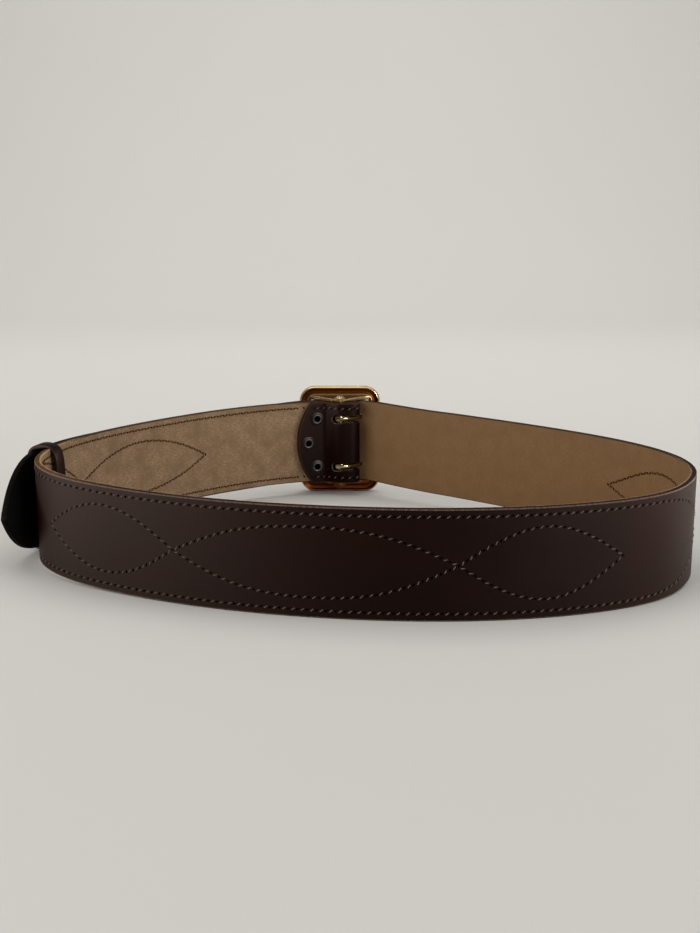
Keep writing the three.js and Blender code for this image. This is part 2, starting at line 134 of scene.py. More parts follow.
class PlanCurve:
    """A smooth line through points in a plane, read by length along it.

    Each coordinate is a natural cubic spline over the chord length: on each span it is the
    straight blend of the two ends, with shares a and b, plus (a^3 - a) and (b^3 - b) times the
    second derivatives there. The derivatives make the slope continuous and are nought at the ends.
    """

    def __init__(self, points):
        self.points = np.asarray(points, float)
        self.chords = np.linalg.norm(np.diff(self.points, axis=0), axis=1)
        inner = np.arange(1, len(self.points) - 1)
        system = np.eye(len(self.points))
        system[inner, inner - 1] = self.chords[:-1]
        system[inner, inner] = 2 * (self.chords[:-1] + self.chords[1:])
        system[inner, inner + 1] = self.chords[1:]
        slopes = np.diff(self.points, axis=0) / self.chords[:, None]
        turns = np.zeros_like(self.points)
        turns[1:-1] = 6 * np.diff(slopes, axis=0)
        self.bends = np.linalg.solve(system, turns)
        self.knots = np.r_[0, np.cumsum(self.chords)]
        self.fine = np.linspace(0, self.knots[-1], SAMPLES["curve"])
        steps = np.linalg.norm(np.diff(self.place(self.fine)[0], axis=0), axis=1)
        self.lengths = np.r_[0, np.cumsum(steps)]
        self.length = self.lengths[-1]

    def place(self, t):
        """Points and slopes at places along the chords."""
        i = np.clip(np.searchsorted(self.knots, t, "right"), 1, len(self.chords))
        chord = self.chords[i - 1][..., None]
        b = np.asarray(t - self.knots[i - 1])[..., None] / chord
        a = 1 - b
        start, end = self.points[i - 1], self.points[i]
        bend, next_bend = self.bends[i - 1], self.bends[i]
        point = a * start + b * end + ((a**3 - a) * bend + (b**3 - b) * next_bend) * chord**2 / 6
        turn = (3 * b**2 - 1) * next_bend - (3 * a**2 - 1) * bend
        return point, (end - start) / chord + turn * chord / 6

    def at(self, length):
        """Points at lengths along the line, and the unit directions to its left."""
        point, slope = self.place(np.interp(length, self.lengths, self.fine))
        return point, left_of(slope / np.linalg.norm(slope, axis=-1, keepdims=True))


def strap_lines():
    """The strap's whole middle line, and the ring alone, from the fold round to the buckle."""
    fold_knots, layer_knots = 9, 13
    turn = np.radians(np.linspace(-90, 90, fold_knots))
    fold = np.stack([FOLD["x"] + FOLD["radius"] * np.cos(turn),
                     FOLD["y"] + FOLD["radius"] * np.sin(turn)], -1)
    ring = PlanCurve([fold[-1], *LOOP])
    layer = 2 * HALF_THICK + LAYER_GAP

    def beside(start, end, off, more, low, high):
        """Points off to the left of the ring, by more where it has gone from low to high."""
        along = np.linspace(start, end, layer_knots)
        point, side = ring.at(along)
        return point + side * (off + more * smooth_step(along, low, high))[:, None]

    across = 2 * FOLD["radius"]
    flap = beside(FLAP["end"], FLAP["round"], across, layer - across, FLAP["round"],
                  FLAP["parts"])
    overlap = beside(OVERLAP["start"], KEEPER_ALONG, -layer, LAYER_GAP - KEEPER_GAP,
                     OVERLAP["loosens"], KEEPER_ALONG)
    route = PlanCurve([*flap, *fold, *LOOP, *THROUGH_BUCKLE, *overlap, *FREE_END])
    return route, ring


ROUTE, RING = strap_lines()


def length_at_x(x, low, high):
    """Length along the strap, between two lengths, where its plan x is nearest to x."""
    s = np.linspace(low, high, SAMPLES["search"])
    return s[np.argmin(np.abs(ROUTE.at(s)[0][:, 0] - x))]


# The fold, the slots' ends and the prongs are looked for from near to far past a place
NEAR, FAR = 20.0, 60.0
FLAP_LENGTH = length_at_x(FOLD["x"], NEAR, FAR)
BUCKLE_LENGTH = RING.length + FLAP_LENGTH
PRONG_LENGTH = length_at_x(THROUGH_BUCKLE[1][0], BUCKLE_LENGTH, BUCKLE_LENGTH + FAR)


def sag(s):
    """How much lower the outer layer hangs at lengths along the strap; its tip is level again."""
    level = smooth_step(s, ROUTE.length - SAG["tip_from"], ROUTE.length - SAG["tip_to"])
    return SAG["depth"] * smooth_step(s, SAG["from"], SAG["to"]) * (1 - level)


def on_strap(s, v, w=0.0):
    """Points of the strap's own coordinates: its middle line, moved w sideways and raised by v."""
    s, v, w = np.broadcast_arrays(s, v, w)
    point, side = ROUTE.at(s)
    return raised(point + side * w[..., None], HALF_WIDTH + lift(point) - sag(s) + v)


# Settings

def linear(code):
    """A colour socket's value from an sRGB hex colour, by the sRGB curve."""
    value = np.array([int(code[i:i + 2], 16) for i in (1, 3, 5)]) / 255
    light = np.where(value <= 0.04045, value / 12.92, ((value + 0.055) / 1.055) ** 2.4)
    return (*light.tolist(), 1.0)


def size(name, description, default):
    """A length in the settings, given in millimetres."""
    return bpy.props.FloatProperty(
        name=name, description=description, default=default / 1000, unit="LENGTH", precision=5)


def colour(name, description, default):
    """A colour in the settings, given as an sRGB hex value."""
    return bpy.props.FloatVectorProperty(
        name=name, description=description, default=linear(default), subtype="COLOR", size=4,
        min=0, max=1)


def power(name, description, default):
    """A lamp's power in the settings."""
    return bpy.props.FloatProperty(
        name=name, description=description, default=default, min=0, unit="POWER")


class LeatherSettings(bpy.types.PropertyGroup):
    """Sizes and colours of the strap and the keeper."""

    edge_round: size("Edge rounding", "Radius of the strap's worked edges", 0.8)
    keeper_band: size("Keeper width", "Width of the keeper's band", 9.5)
    grain_colour: colour("Grain side", "Dyed and polished outer face", "#160401")
    flesh_colour: colour("Flesh side", "Undyed inner face", "#a08468")
    flesh_dark_colour: colour("Flesh side, dark", "Darker patches of the inner face", "#836a4e")
    flesh_ruddy_colour: colour("Flesh side, ruddy", "Towards the buckle's right", "#7a5a38")
    free_end_dark_colour: colour("Free end, dark", "Inner face of the free end", "#0d0806")
    raw_edge_colour: colour("Raw arris", "Edge where the dye has worn off", "#b0906e")
    # Painted highlight: a light line on the grain's rounded arris, where it catches the light
    arris_highlight_colour: colour("Arris highlight", "Painted highlight on the grain's arris", "#8a7468")
    worn_edge_colour: colour("Worn edge", "Edge round the left bend", "#5e421c")
    dyed_edge_colour: colour("Dyed edge", "Edge with its full dye", "#22120a")
    cut_colour: colour("Cut leather", "Inside of the punched slots", "#b8998c")
    # Near black inside the awl holes: wax off the thread and painted shade of the hole
    pierced_colour: colour("Pierced leather", "Inside of the awl holes", "#120a07")


class StitchSettings(bpy.types.PropertyGroup):
    """Sizes and colour of the saddle stitches."""

    pitch: size("Pitch", "Distance between two holes", 4.75)
    thread: size("Thread", "Diameter of the waxed thread", 0.7)
    inner_thread: size("Inner thread", "Its diameter on the flesh side, less pressed", 1.25)
    hole: size("Hole", "Length of each awl hole", 2.4)
    grain_slant: size("Slant, grain side", "How far a stitch's ends are off its line", 0.72)
    flesh_slant: size("Slant, flesh side", "How far a stitch's ends are off its line", 0.3)
    # The grain side's thread is the same thread, lightened with painted sheen
    thread_sheen_colour: colour("Thread", "Thread polished with the grain", "#74665b")
    inner_thread_colour: colour("Inner thread", "Thread on the flesh side", "#5c3c18")


class MetalSettings(bpy.types.PropertyGroup):
    """Sizes and colours of the buckle, its prongs and the snaps."""

    buckle_width: size("Buckle width", "Across the frame", 57)
    buckle_height: size("Buckle height", "Up the frame", 76)
    corner: size("Corner", "Outer radius of the frame's corners", 11)
    bar: size("Bar", "Radius of the bar", 2.8)
    brass_colour: colour("Brass", "Polished brass", "#dcc590")
    # The prongs' brass is a darker copy of the buckle's: partly dulled, partly painted shade
    prong_dull_and_shade_colour: colour("Prong brass", "Brass dulled by the leather, darkened with painted shade", "#a0946a")
    # Tarnished brown in the buckle's hollows and on its lower side, partly painted shade
    tarnish_and_shade_colour: colour("Tarnish", "Brass in its hollows", "#5e2d08")
    gunmetal_colour: colour("Gunmetal", "Blackened finish of the snaps", "#3c3735")


class StageSettings(bpy.types.PropertyGroup):
    """Backdrop and light."""

    backdrop_colour: colour("Backdrop", "Pale floor and wall", "#d5d2cd")
    top_light: power("Top light", "Power of the softbox above", 9)
    wall_light: power("Wall light", "Power of the light on the wall", 24)
    left_light: power("Left light", "Power of the panel on the left", 11)
    right_light: power("Right light", "Power of the panel on the right", 8)
    sheen_light: power("Sheen", "Power of each panel that shows in the leather's gloss alone", 150)
    key_light: power("Key", "Power of the small lamp that shows in all gloss", 24)
    surround: bpy.props.FloatProperty(
        name="Surround", description="Strength of the light from all round", default=0.3, min=0)


def mm(value):
    """Millimetres from a length in the settings."""
    return value * 1000


# Meshes

# The UV maps that keep the first and second, and the first and third number of a place
FACE_PLACE, DEPTH_PLACE = "face_place", "depth_place"
# In metres: points that are this near are one, edges this short go, and what the cuts leave of a
# face lies this near to it
DOUBLES, NO_LENGTH, ON_FACE = 2e-6, 1e-6, 2e-5


def quads(rows, columns, closed_rows=False, closed_columns=True):
    """Faces between neighbouring points of a grid that is numbered row by row."""
    row = np.arange(rows if closed_rows else rows - 1)[:, None]
    column = np.arange(columns if closed_columns else columns - 1)
    here, above = row * columns, (row + 1) % rows * columns
    beside = (column + 1) % columns
    corners = (here + column, here + beside, above + beside, above + column)
    return np.stack(corners, -1).reshape(-1, 4)


class Shell:
    """Points and faces of closed surfaces, ready to go into a mesh.

    The place of each point is three numbers for its material: on the strap s, v and w.
    """

    def __init__(self, points, faces, place=None, slots=None):
        self.points = np.asarray(points, float).reshape(-1, 3)
        self.faces = [list(face) for face in faces]
        self.place = np.zeros((len(self.points), 3)) if place is None else place.reshape(-1, 3)
        self.slots = np.zeros(len(self.faces), int) if slots is None else slots


def grid_shell(points, closed_rows=False, place=None, slots=None):
    """A shell from a grid of points whose columns run round; open rows end in one face each."""
    rows, columns = points.shape[:2]
    faces = quads(rows, columns, closed_rows).tolist()
    slots = np.zeros(len(faces), int) if slots is None else np.tile(slots, len(faces) // columns)
    if not closed_rows:
        last = (rows - 1) * columns
        faces += [list(range(columns)), list(range(last, last + columns))]
        slots = np.r_[slots, slots[:1], slots[:1]]
    return Shell(points, faces, place, slots)


def joined(shells):
    """Several shells as one."""
    first = np.cumsum([0] + [len(shell.points) for shell in shells])
    faces = [[index + start for index in face]
             for shell, start in zip(shells, first) for face in shell.faces]
    points, place, slots = (np.concatenate([getattr(shell, key) for shell in shells])
                            for key in ("points", "place", "slots"))
    return Shell(points, faces, place, slots)


def place_of(*parts):
    """The places of points, from three arrays or numbers that fit one another."""
    return np.stack(np.broadcast_arrays(*parts), -1)


def mesh_of(name, shell, smooth_angle):
    """A mesh in metres in the CAD's frame: doubles merged, faces outwards, edges sharp by angle."""
    mesh = bpy.data.meshes.new(name)
    mesh.from_pydata(((shell.points - CENTRE) / 1000).tolist(), [], shell.faces)
    mesh.polygons.foreach_set("material_index", shell.slots)
    corners = np.empty(len(mesh.loops), int)
    mesh.loops.foreach_get("vertex_index", corners)
    for layer_name, columns in ((FACE_PLACE, (0, 1)), (DEPTH_PLACE, (0, 2))):
        layer = mesh.uv_layers.new(name=layer_name)
        layer.data.foreach_set("uv", shell.place[corners][:, columns].ravel())
    work = bmesh.new()
    work.from_mesh(mesh)
    bmesh.ops.remove_doubles(work, verts=work.verts, dist=DOUBLES)
    bmesh.ops.dissolve_degenerate(work, edges=work.edges, dist=NO_LENGTH)
    bmesh.ops.recalc_face_normals(work, faces=work.faces)
    work.to_mesh(mesh)
    work.free()
    mesh.set_sharp_from_angle(angle=np.radians(smooth_angle))
    return mesh


def placed(name, data):
    """A new object in the scene, for a mesh, a lamp or a camera."""
    made = bpy.data.objects.new(name, data)
    bpy.context.scene.collection.objects.link(made)
    return made


def apply_with(made, kind, shell, smooth_angle, **settings):
    """Applies a modifier of a kind that works with another object, made from a shell."""
    tool = placed("tool", mesh_of("tool", shell, smooth_angle))
    modifier = made.modifiers.new(kind, kind)
    modifier.object = tool
    for key, value in settings.items():
        setattr(modifier, key, value)
    view = bpy.context.evaluated_depsgraph_get()
    result = bpy.data.meshes.new_from_object(made.evaluated_get(view))
    if not result.polygons:
        raise RuntimeError(f"{made.name}: nothing is left after {kind}")
    made.modifiers.clear()
    old, made.data = made.data, result
    bpy.data.meshes.remove(old)
    bpy.data.meshes.remove(tool.data)


def piece(name, shell, materials, smooth_angle=35, added=(), cut=()):
    """An object from a shell, with other shells joined to it and cut out of it as solids. What
    the cuts leave of its faces is shaded like the whole surface, without streaks at the holes."""
    made = placed(name, mesh_of(name, shell, smooth_angle))
    for material in materials:
        made.data.materials.append(material)
    tools = [("UNION", other) for other in added] + [("DIFFERENCE", other) for other in cut]
    for operation, other in tools:
        apply_with(made, "BOOLEAN", other, smooth_angle, operation=operation, solver="MANIFOLD")
    if tools:
        made.data.set_sharp_from_angle(angle=np.radians(smooth_angle))
    if cut:
        apply_with(made, "DATA_TRANSFER", shell, smooth_angle, use_loop_data=True,
                   data_types_loops={"CUSTOM_NORMAL"}, loop_mapping="POLYINTERP_NEAREST",
                   use_max_distance=True, max_distance=ON_FACE)
    made.data.name = name
    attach(made, "root")
    return made


def turned(profile, origin, across, up, axis, segments=40):
    """A body of revolution: each radius and height pair swept round the axis through origin.
    The place of a point is its radius and its height."""
    radius, height = np.asarray(profile, float).T[..., None]
    angle = np.linspace(0, 2 * np.pi, segments, endpoint=False)
    points = (origin + (radius * np.cos(angle))[..., None] * across
              + (radius * np.sin(angle))[..., None] * up
              + (height * np.ones_like(angle))[..., None] * axis)
    return grid_shell(points, place=place_of(radius + 0 * angle, height, 0.0))


def corner_turns(steps):
    """Angles of a quarter circle at each corner of a rectangle, and the signs of its x and y."""
    turn = np.linspace(0, np.pi / 2, steps)
    angle = np.concatenate([turn + quarter * np.pi / 2 for quarter in range(4)])
    return angle, np.repeat([1, -1, -1, 1], steps), np.repeat([1, 1, -1, -1], steps)


def rounded(half_across, half_up, radius):
    """A rectangle with rounded corners, as two columns: a quarter circle at each corner."""
    angle, sign_x, sign_y = corner_turns(5)
    return np.stack([sign_x * (half_across - radius) + radius * np.cos(angle),
                     sign_y * (half_up - radius) + radius * np.sin(angle)], -1)


def closed_curve(points, count):
    """A smooth closed line through points: Catmull-Rom cubics, with each slope half the chord
    between the two neighbours, cut into count parts a span."""
    points = np.asarray(points, float)
    t = np.linspace(0, 1, count, endpoint=False)[:, None, None]
    before, after, beyond = (np.roll(points, -k, axis=0) for k in (-1, 1, 2))
    curve = 0.5 * (2 * points + (after - before) * t
                   + (2 * before - 5 * points + 4 * after - beyond) * t**2
                   + (3 * points - before - 3 * after + beyond) * t**3)
    return curve.transpose(1, 0, 2).reshape(-1, points.shape[1])


def plate(outline, low, high, radius, place):
    """A flat plate with rounded edges: its outline, moved inwards along its normals by a quarter
    circle at each face. place turns plan points and heights into space."""
    ahead = np.roll(outline, -1, axis=0) - np.roll(outline, 1, axis=0)
    ahead /= np.linalg.norm(ahead, axis=1, keepdims=True)
    inward = left_of(ahead)
    turn = np.linspace(0, np.pi / 2, 5)
    inset = radius * (1 - np.r_[np.sin(turn), np.sin(turn[::-1])])
    height = np.r_[low + radius * (1 - np.cos(turn)), high - radius * (1 - np.cos(turn[::-1]))]
    plan = outline + inward * inset[:, None, None]
    return grid_shell(place(plan, height[:, None]))


# The strap

# Along the strap: the longest step in mm, and the largest turn of its line in degrees
LONGEST_STEP, LARGEST_TURN = 1.6, 2.5


def strap_rows():
    """Lengths and half heights of the strap's outline.

    A circle's arc makes the D-shaped end. Rows of the straight part stand closer where it bends:
    their density is one over the longest step, plus the turn in each mm over the largest turn.
    Two arcs taper the free end, and a small circle that touches both rounds its point.
    """
    end_steps, taper_steps, nose_steps = 26, 30, 9
    radius = FLAP["end_radius"]
    angle = np.linspace(0, np.arcsin(HALF_WIDTH / radius), end_steps)
    d_end = np.stack([radius * (1 - np.cos(angle)), radius * np.sin(angle)], -1)

    taper = ROUTE.length - TIP["length"]
    s = np.linspace(d_end[-1, 0], taper, SAMPLES["rows"])
    side = ROUTE.at(s)[1]
    turn = np.abs(np.gradient(np.unwrap(np.arctan2(side[:, 1], side[:, 0])), s))
    density = np.cumsum(1 / LONGEST_STEP + turn / np.radians(LARGEST_TURN))
    count = int((density[-1] - density[0]) * (s[1] - s[0]))
    even = np.linspace(density[0], density[-1], count)
    middle = np.interp(even, density, s)[1:-1]
    straight = np.stack([middle, np.full_like(middle, HALF_WIDTH)], -1)

    arc = (TIP["length"] ** 2 + HALF_WIDTH**2) / (2 * HALF_WIDTH)
    drop = arc - HALF_WIDTH
    nose = TIP["nose"]
    nose_at = np.sqrt((arc - nose) ** 2 - drop**2)
    touch = np.arctan2(nose_at, drop)
    turn = np.linspace(0, touch, taper_steps)
    tapered = np.stack([taper + arc * np.sin(turn), arc * np.cos(turn) - drop], -1)
    turn = np.linspace(touch, np.pi / 2, nose_steps)[1:]
    point = np.stack([taper + nose_at + nose * np.sin(turn), nose * np.cos(turn)], -1)
    return np.concatenate([d_end, straight, tapered, point])


# The slots of the strap's materials
GRAIN, FLESH, EDGE, PUNCHED, PIERCED = range(5)


def strap_shell(edge_round):
    """The strap's closed surface: its section carried along the middle line.

    Each corner of the section is a quarter circle. A column's inset moves its points inwards
    along the outline's normal, so that the rounding also goes round both ends. The flesh side is
    rounded less. A flat step beside each corner keeps its rounding out of a face's shading.
    """
    rows = strap_rows()
    slope = np.gradient(rows, axis=0)
    slope /= np.linalg.norm(slope, axis=1, keepdims=True)
    inward = -left_of(slope)
    turn = np.linspace(0, np.pi / 2, 5)
    flesh_round, step = edge_round * 0.7, 0.4
    w = np.r_[-HALF_THICK, -HALF_THICK + edge_round * (1 - np.cos(turn)),
              HALF_THICK - flesh_round * (1 - np.cos(turn[::-1])), HALF_THICK]
    inset = np.r_[edge_round + step, edge_round * (1 - np.sin(turn)),
                  flesh_round * (1 - np.sin(turn[::-1])), flesh_round + step]
    w, inset = np.r_[w, w[::-1]], np.r_[inset, inset[::-1]]
    sign = np.repeat([1, -1], len(w) // 2)
    s = rows[:, :1] + inward[:, :1] * inset
    v = sign * np.maximum(rows[:, 1:] + inward[:, 1:] * inset, 0)
    slots = np.full(len(w), EDGE)
    middle = len(w) // 2
    slots[middle - 2:middle + 1] = FLESH
    slots[[0, -2, -1]] = GRAIN
    return grid_shell(on_strap(s, v, w), place=place_of(s, v, w), slots=slots)


def strap_hole(length, height, half_length, half_height):
    """A cutter through the strap with round ends: half heights from a circle's arc at each end."""
    longest, past = 0.6, 0.25
    angle = np.linspace(0, np.pi / 2, 9)
    flat = max(half_length - half_height, 0)
    round_end = min(half_length, half_height)
    start = length - flat - round_end * np.cos(angle)
    steps = np.linspace(length - flat, length + flat, max(int(flat * 2 / longest), 2))[1:-1]
    s = np.concatenate([start, steps, (2 * length - start)[::-1]])
    high = half_height * np.r_[np.sin(angle), np.ones(len(steps)), np.sin(angle[::-1])]
    w = (HALF_THICK + past) * np.array([-1, 1, 1, -1])
    sign = np.array([1, 1, -1, -1])
    s = np.repeat(s[:, None], 4, axis=1)
    v = height + high[:, None] * sign
    return grid_shell(on_strap(s, v, w), place=place_of(s, v, w), slots=np.full(4, PUNCHED))


def snap_frame(x, height):
    """Origin on the flap's face at a plan x, with the strap's way along, up, and outwards."""
    s = length_at_x(x, 0, FLAP_LENGTH)
    side = ROUTE.at(s)[1]
    origin = on_strap(s, height, -HALF_THICK)
    return origin, np.array([*-left_of(side), 0]), np.array([0, 0, 1.0]), np.array([*-side, 0])


# What is cut out for a snap, as radii and heights over the flap's face: wide above that face,
# narrow through the flap and the ring, and wide again past the strap's outer face
SNAP_SEAT = (
    (0, 2), (5.05, 2), (5.05, 0), (3.0, 0), (3.0, -7.75), (5.0, -7.75), (5.0, -9.4), (0, -9.4),
)


def strap_cutters(stitch):
    """All that is cut out of the strap, as solids that don't overlap within one: awl holes, then
    slots, spare holes and the snaps' seats, then the way through for each prong."""
    slot_from = length_at_x(SLOT["left"], NEAR, FLAP_LENGTH)
    slot_to = length_at_x(SLOT["left"], FLAP_LENGTH + NEAR, FLAP_LENGTH + FAR)
    slot_middle, slot_half = (slot_from + slot_to) / 2, (slot_to - slot_from) / 2
    holes = [turned(SNAP_SEAT, *snap_frame(*place)) for place in SNAP_PLACES.values()]
    radius = SPARE_HOLES["radius"]
    for height in PRONG_OFFSETS:
        holes.append(strap_hole(slot_middle, height, slot_half, SLOT["half_height"]))
        for i in range(1, SPARE_HOLES["pairs"] + 1):
            along = PRONG_LENGTH + SPARE_HOLES["spacing"] * i
            holes.append(strap_hole(along, height, radius, radius))
    prongs = [prong_parts(height, PRONG["room"])[1] for height in PRONG_OFFSETS]
    for prong in prongs:
        prong.slots[:] = PIERCED
    return [awl_holes(stitch), joined(holes), joined(prongs)]


# Stitches

# Lines of stitches as lengths along the strap and heights above its middle. Each is
# mirrored below the middle, and lines that meet share the hole where they meet.
STITCH_LINES = (
    # the border on the flap, the fold and the ring, which turns into the last eye on the right
    ((12, 24.5), (54, 24.5), (120, 24.5), (200, 24.5), (318, 24.5), (400, 24.5), (500, 24.5),
     (600, 24.5), (680, 24.5), (700, 23.9), (717, 21), (737, 12.5), (757, 0)),
    ((757, 0), (775, -11), (795, -15), (812, -12.3), (828, -5.3), (839.2, 0)),
    # the eye at the back, left of the buckle, whose limbs run out into the borders
    ((164.9, 0), (178, 7.5), (195, 13.8), (217, 16.5), (240, 12), (264.5, 0)),
    ((264.5, 0), (281, -12.5), (298, -20), (318, -24.5)),
    # three eyes in front
    ((352.6, 0), (370, 11), (393, 18), (416, 13.5), (438.7, 0)),
    ((438.7, 0), (472, -13.5), (512, -18), (550, -14), (585.1, 0)),
    ((585.1, 0), (608, 13.5), (631, 18.5), (652, 12), (670.8, 0)),
)


# An awl's hole: its depth, how far its cutter stands out, its width over its length, and how near
# two holes are that are one
AWL = {"deep": 1.1, "out": 0.2, "slim": 0.52, "shared": 0.4}
# A bead: its spans and sides, how much thinner it is at its ends, how proud it lies and how deep
# it dives, and the share of the way between two holes that it takes on each side
BEAD = {"spans": 7, "sides": 6, "thins": 0.35, "proud": 0.06, "dives": 0.75,
        "grain_share": 0.46, "flesh_share": 0.66}
HIDDEN_FLESH = 92.0  # the flap hides the flesh side up to this length


def stitch_runs(pitch):
    """Each line's holes, evenly spaced from end to end, and the direction to its left there."""
    runs = []
    for line in STITCH_LINES:
        curve = PlanCurve(line)
        at = np.linspace(0, curve.length, round(curve.length / pitch) + 1)
        hole, left = curve.at(at)
        runs += [(hole, left), (hole * (1, -1), left * (-1, 1))]
    return runs


def awl_holes(stitch):
    """Slanted diamond holes, one for each place that lines share: a prism sunk into each face,
    as deep as the thread shows, because the thread fills the rest."""
    runs = stitch_runs(mm(stitch.pitch))
    hole = np.concatenate([run[0] for run in runs])
    left = np.concatenate([run[1] for run in runs])
    cell = np.round(hole / AWL["shared"]).astype(int)
    keep = np.unique(cell, axis=0, return_index=True)[1]
    hole, left = hole[keep], left[keep]
    ahead = -left_of(left)
    lean = (ahead + left) / np.sqrt(2)
    flat = (ahead - left) / np.sqrt(2)
    long = mm(stitch.hole) / 2
    wide = long * AWL["slim"]
    corner = np.stack([lean * long, flat * wide, -lean * long, -flat * wide], 1)
    plan = (hole[:, None] + corner)[:, None].repeat(2, axis=1)
    first = 8 * np.arange(len(hole))[:, None, None]
    faces = np.array([[0, 1, 5, 4], [1, 2, 6, 5], [2, 3, 7, 6], [3, 0, 4, 7], [3, 2, 1, 0],
                      [4, 5, 6, 7]])
    faces = (first + faces).reshape(-1, 4)
    sunk = np.array([HALF_THICK - AWL["deep"], HALF_THICK + AWL["out"]])[None, :, None]
    prisms = []
    for face in (-1, 1):
        points = on_strap(plan[..., 0], plan[..., 1], face * sunk)
        place = place_of(plan[..., 0], plan[..., 1], face * sunk)
        prisms.append(Shell(points, faces, place, np.full(len(faces), PIERCED)))
    return joined(prisms)


def stitch_beads(pitch, thread, face, share, slant, start=0.0):
    """Beads of thread on one face of the strap, each over a share of the way between two holes.

    Along a bead the thread's middle follows 1 - x^4 from x = -1 to 1, so that it lies flat on
    the leather and dives into the hole at both ends, where it also gets thinner. It runs
    slantwise, off its line by the slant at its ends. Beads begin past a start length.
    """
    spans, sides = BEAD["spans"], BEAD["sides"]
    shells = []
    x = np.linspace(-1, 1, spans)[None, :, None]
    angle = np.linspace(0, 2 * np.pi, sides, endpoint=False)
    radius = thread / 2 * (1 - BEAD["thins"] * x**4)
    for hole, left in stitch_runs(pitch):
        keep = hole[:-1, 0].clip(max=hole[1:, 0]) > start
        begin, end = hole[:-1][keep, None], hole[1:][keep, None]
        aside = (left[:-1] + left[1:])[keep, None]
        aside = aside / np.linalg.norm(aside, axis=-1, keepdims=True)
        middle = (begin + end) / 2 + (end - begin) / 2 * x * share
        middle = middle - face * aside * x * slant
        rise = HALF_THICK + BEAD["proud"] - BEAD["dives"] * x[..., 0] ** 4
        plan = middle[:, :, None] + aside[:, :, None] * (radius * np.cos(angle))[..., None]
        w = face * (rise[..., None] + radius * np.sin(angle))
        points = on_strap(plan[..., 0], plan[..., 1], w)
        count = len(points)
        faces = quads(spans, sides).tolist()
        faces += [list(range(sides)), list(range((spans - 1) * sides, spans * sides))]
        ring = spans * sides
        faces = [[index + ring * i for index in one] for i in range(count) for one in faces]
        shells.append(Shell(points, faces, place_of(plan[..., 0], plan[..., 1], w)))
    return joined(shells)


# Buckle, prongs and snaps

# The buckle's section, from its outer edge inwards: depth in, and across from its middle. The
# hollow with a rim on each side is its back, and the domed side its front. Below it, how far
# each of its points is down in a hollow, which sets how tarnished it is, with painted shade.
FRAME_SECTION = (
    (0, -1.2), (0.8, -2.75), (1.7, -2.6), (2.2, -1.5), (4.5, -1.3), (5.2, -2.2), (6.2, -2.4),
    (7.4, -1.8), (8, -0.6), (8, 0.8), (6.9, 2.2), (5, 2.75), (3, 2.75), (1.1, 2.2), (0, 1),
)
HOLLOW = (0.0, 0.15, 0.7, 1.0, 1.0, 0.8, 0.45, 0.5, 0.75, 0.4, 0.0, 0.0, 0.0, 0.0, 0.0)
WEB = {"reach": 18.0, "thickness": 3.1, "lip": 1.7, "nose": 3.4, "back": 7.9, "root": 13.0,
       "clear": 0.1, "flare": 21.0, "slope_from": -3.0, "slope_to": 11.0, "edge": 0.7}
# A bar's end: radii and heights of a diamond, whose sides are bowed by this power
BAR_HEAD = ((0, -2.2), (4.1, -2.2), (4.1, -0.6), (3.8, -0.3), (2.2, 0.5), (1.6, 1.7), (1.5, 1.85),
            (0, 1.85))
DIAMOND_POWER = 1.2
# How far the webs and the bar's ends are tarnished, with painted shade, above and below, and how
# much more painted shade the frame gets on its lower side, growing from one height below its
# middle to another
TARNISH_AND_SHADE = {"web": (0.5, 0.9), "head": (0.35, 0.9), "lower": 0.5, "from": 26.0, "to": 31.0}


def frame_shell(metal):
    """The buckle's frame: its section carried round a rectangle with circular corners. The
    first number of a place says how far the point is down in a hollow, or under the buckle, which
    sets how tarnished it is, with painted shade."""
    corner = mm(metal.corner)
    section = closed_curve(FRAME_SECTION, 4)
    hollow = closed_curve(np.array(HOLLOW)[:, None], 4)[:, 0]
    angle, sign_x, sign_z = (column[:, None] for column in corner_turns(17))
    out = corner - section[:, 0]
    x = BUCKLE_X + sign_x * (mm(metal.buckle_width) / 2 - corner) + out * np.cos(angle)
    up = sign_z * (mm(metal.buckle_height) / 2 - corner) + out * np.sin(angle)
    y = BUCKLE_Y + section[:, 1] + 0 * angle
    # Painted shade on the frame's lower side, darker towards the bottom
    below = TARNISH_AND_SHADE["lower"] * smooth_step(-up, TARNISH_AND_SHADE["from"], TARNISH_AND_SHADE["to"])
    return grid_shell(np.stack([x, y, BELT_MIDDLE + up], -1), closed_rows=True,
                      place=place_of(np.minimum(hollow + below, 1), 0.0, 0.0))


def web_outline():
    """A web seen from above, from the bar's centre: a V whose round nose goes about the bar, whose
    flanks touch the nose's circle, and whose roots spread along the frame."""
    reach = np.hypot(WEB["reach"], WEB["back"])
    lean = np.arctan2(WEB["back"], WEB["reach"]) - np.arccos(WEB["nose"] / reach)
    angle = np.linspace(np.pi - lean, 2 * np.pi + lean, 33)
    nose = WEB["nose"] * np.stack([np.cos(angle), np.sin(angle)], -1)
    wide, back, flare = WEB["reach"], WEB["back"], WEB["flare"]
    flank = np.linspace(0, 1, 8)[1:, None]
    right = nose[-1] + flank * ((wide, back) - nose[-1])
    foot = np.array([(wide + 1, back + 0.4), (wide + 2, back + 0.7), (flare, back + 1)])
    base = np.stack([np.linspace(flare, -flare, 13), np.full(13, WEB["root"])], -1)
    mirror = (-1, 1)
    return np.concatenate([nose, right, foot, base, (foot * mirror)[::-1], (right * mirror)[::-1]])


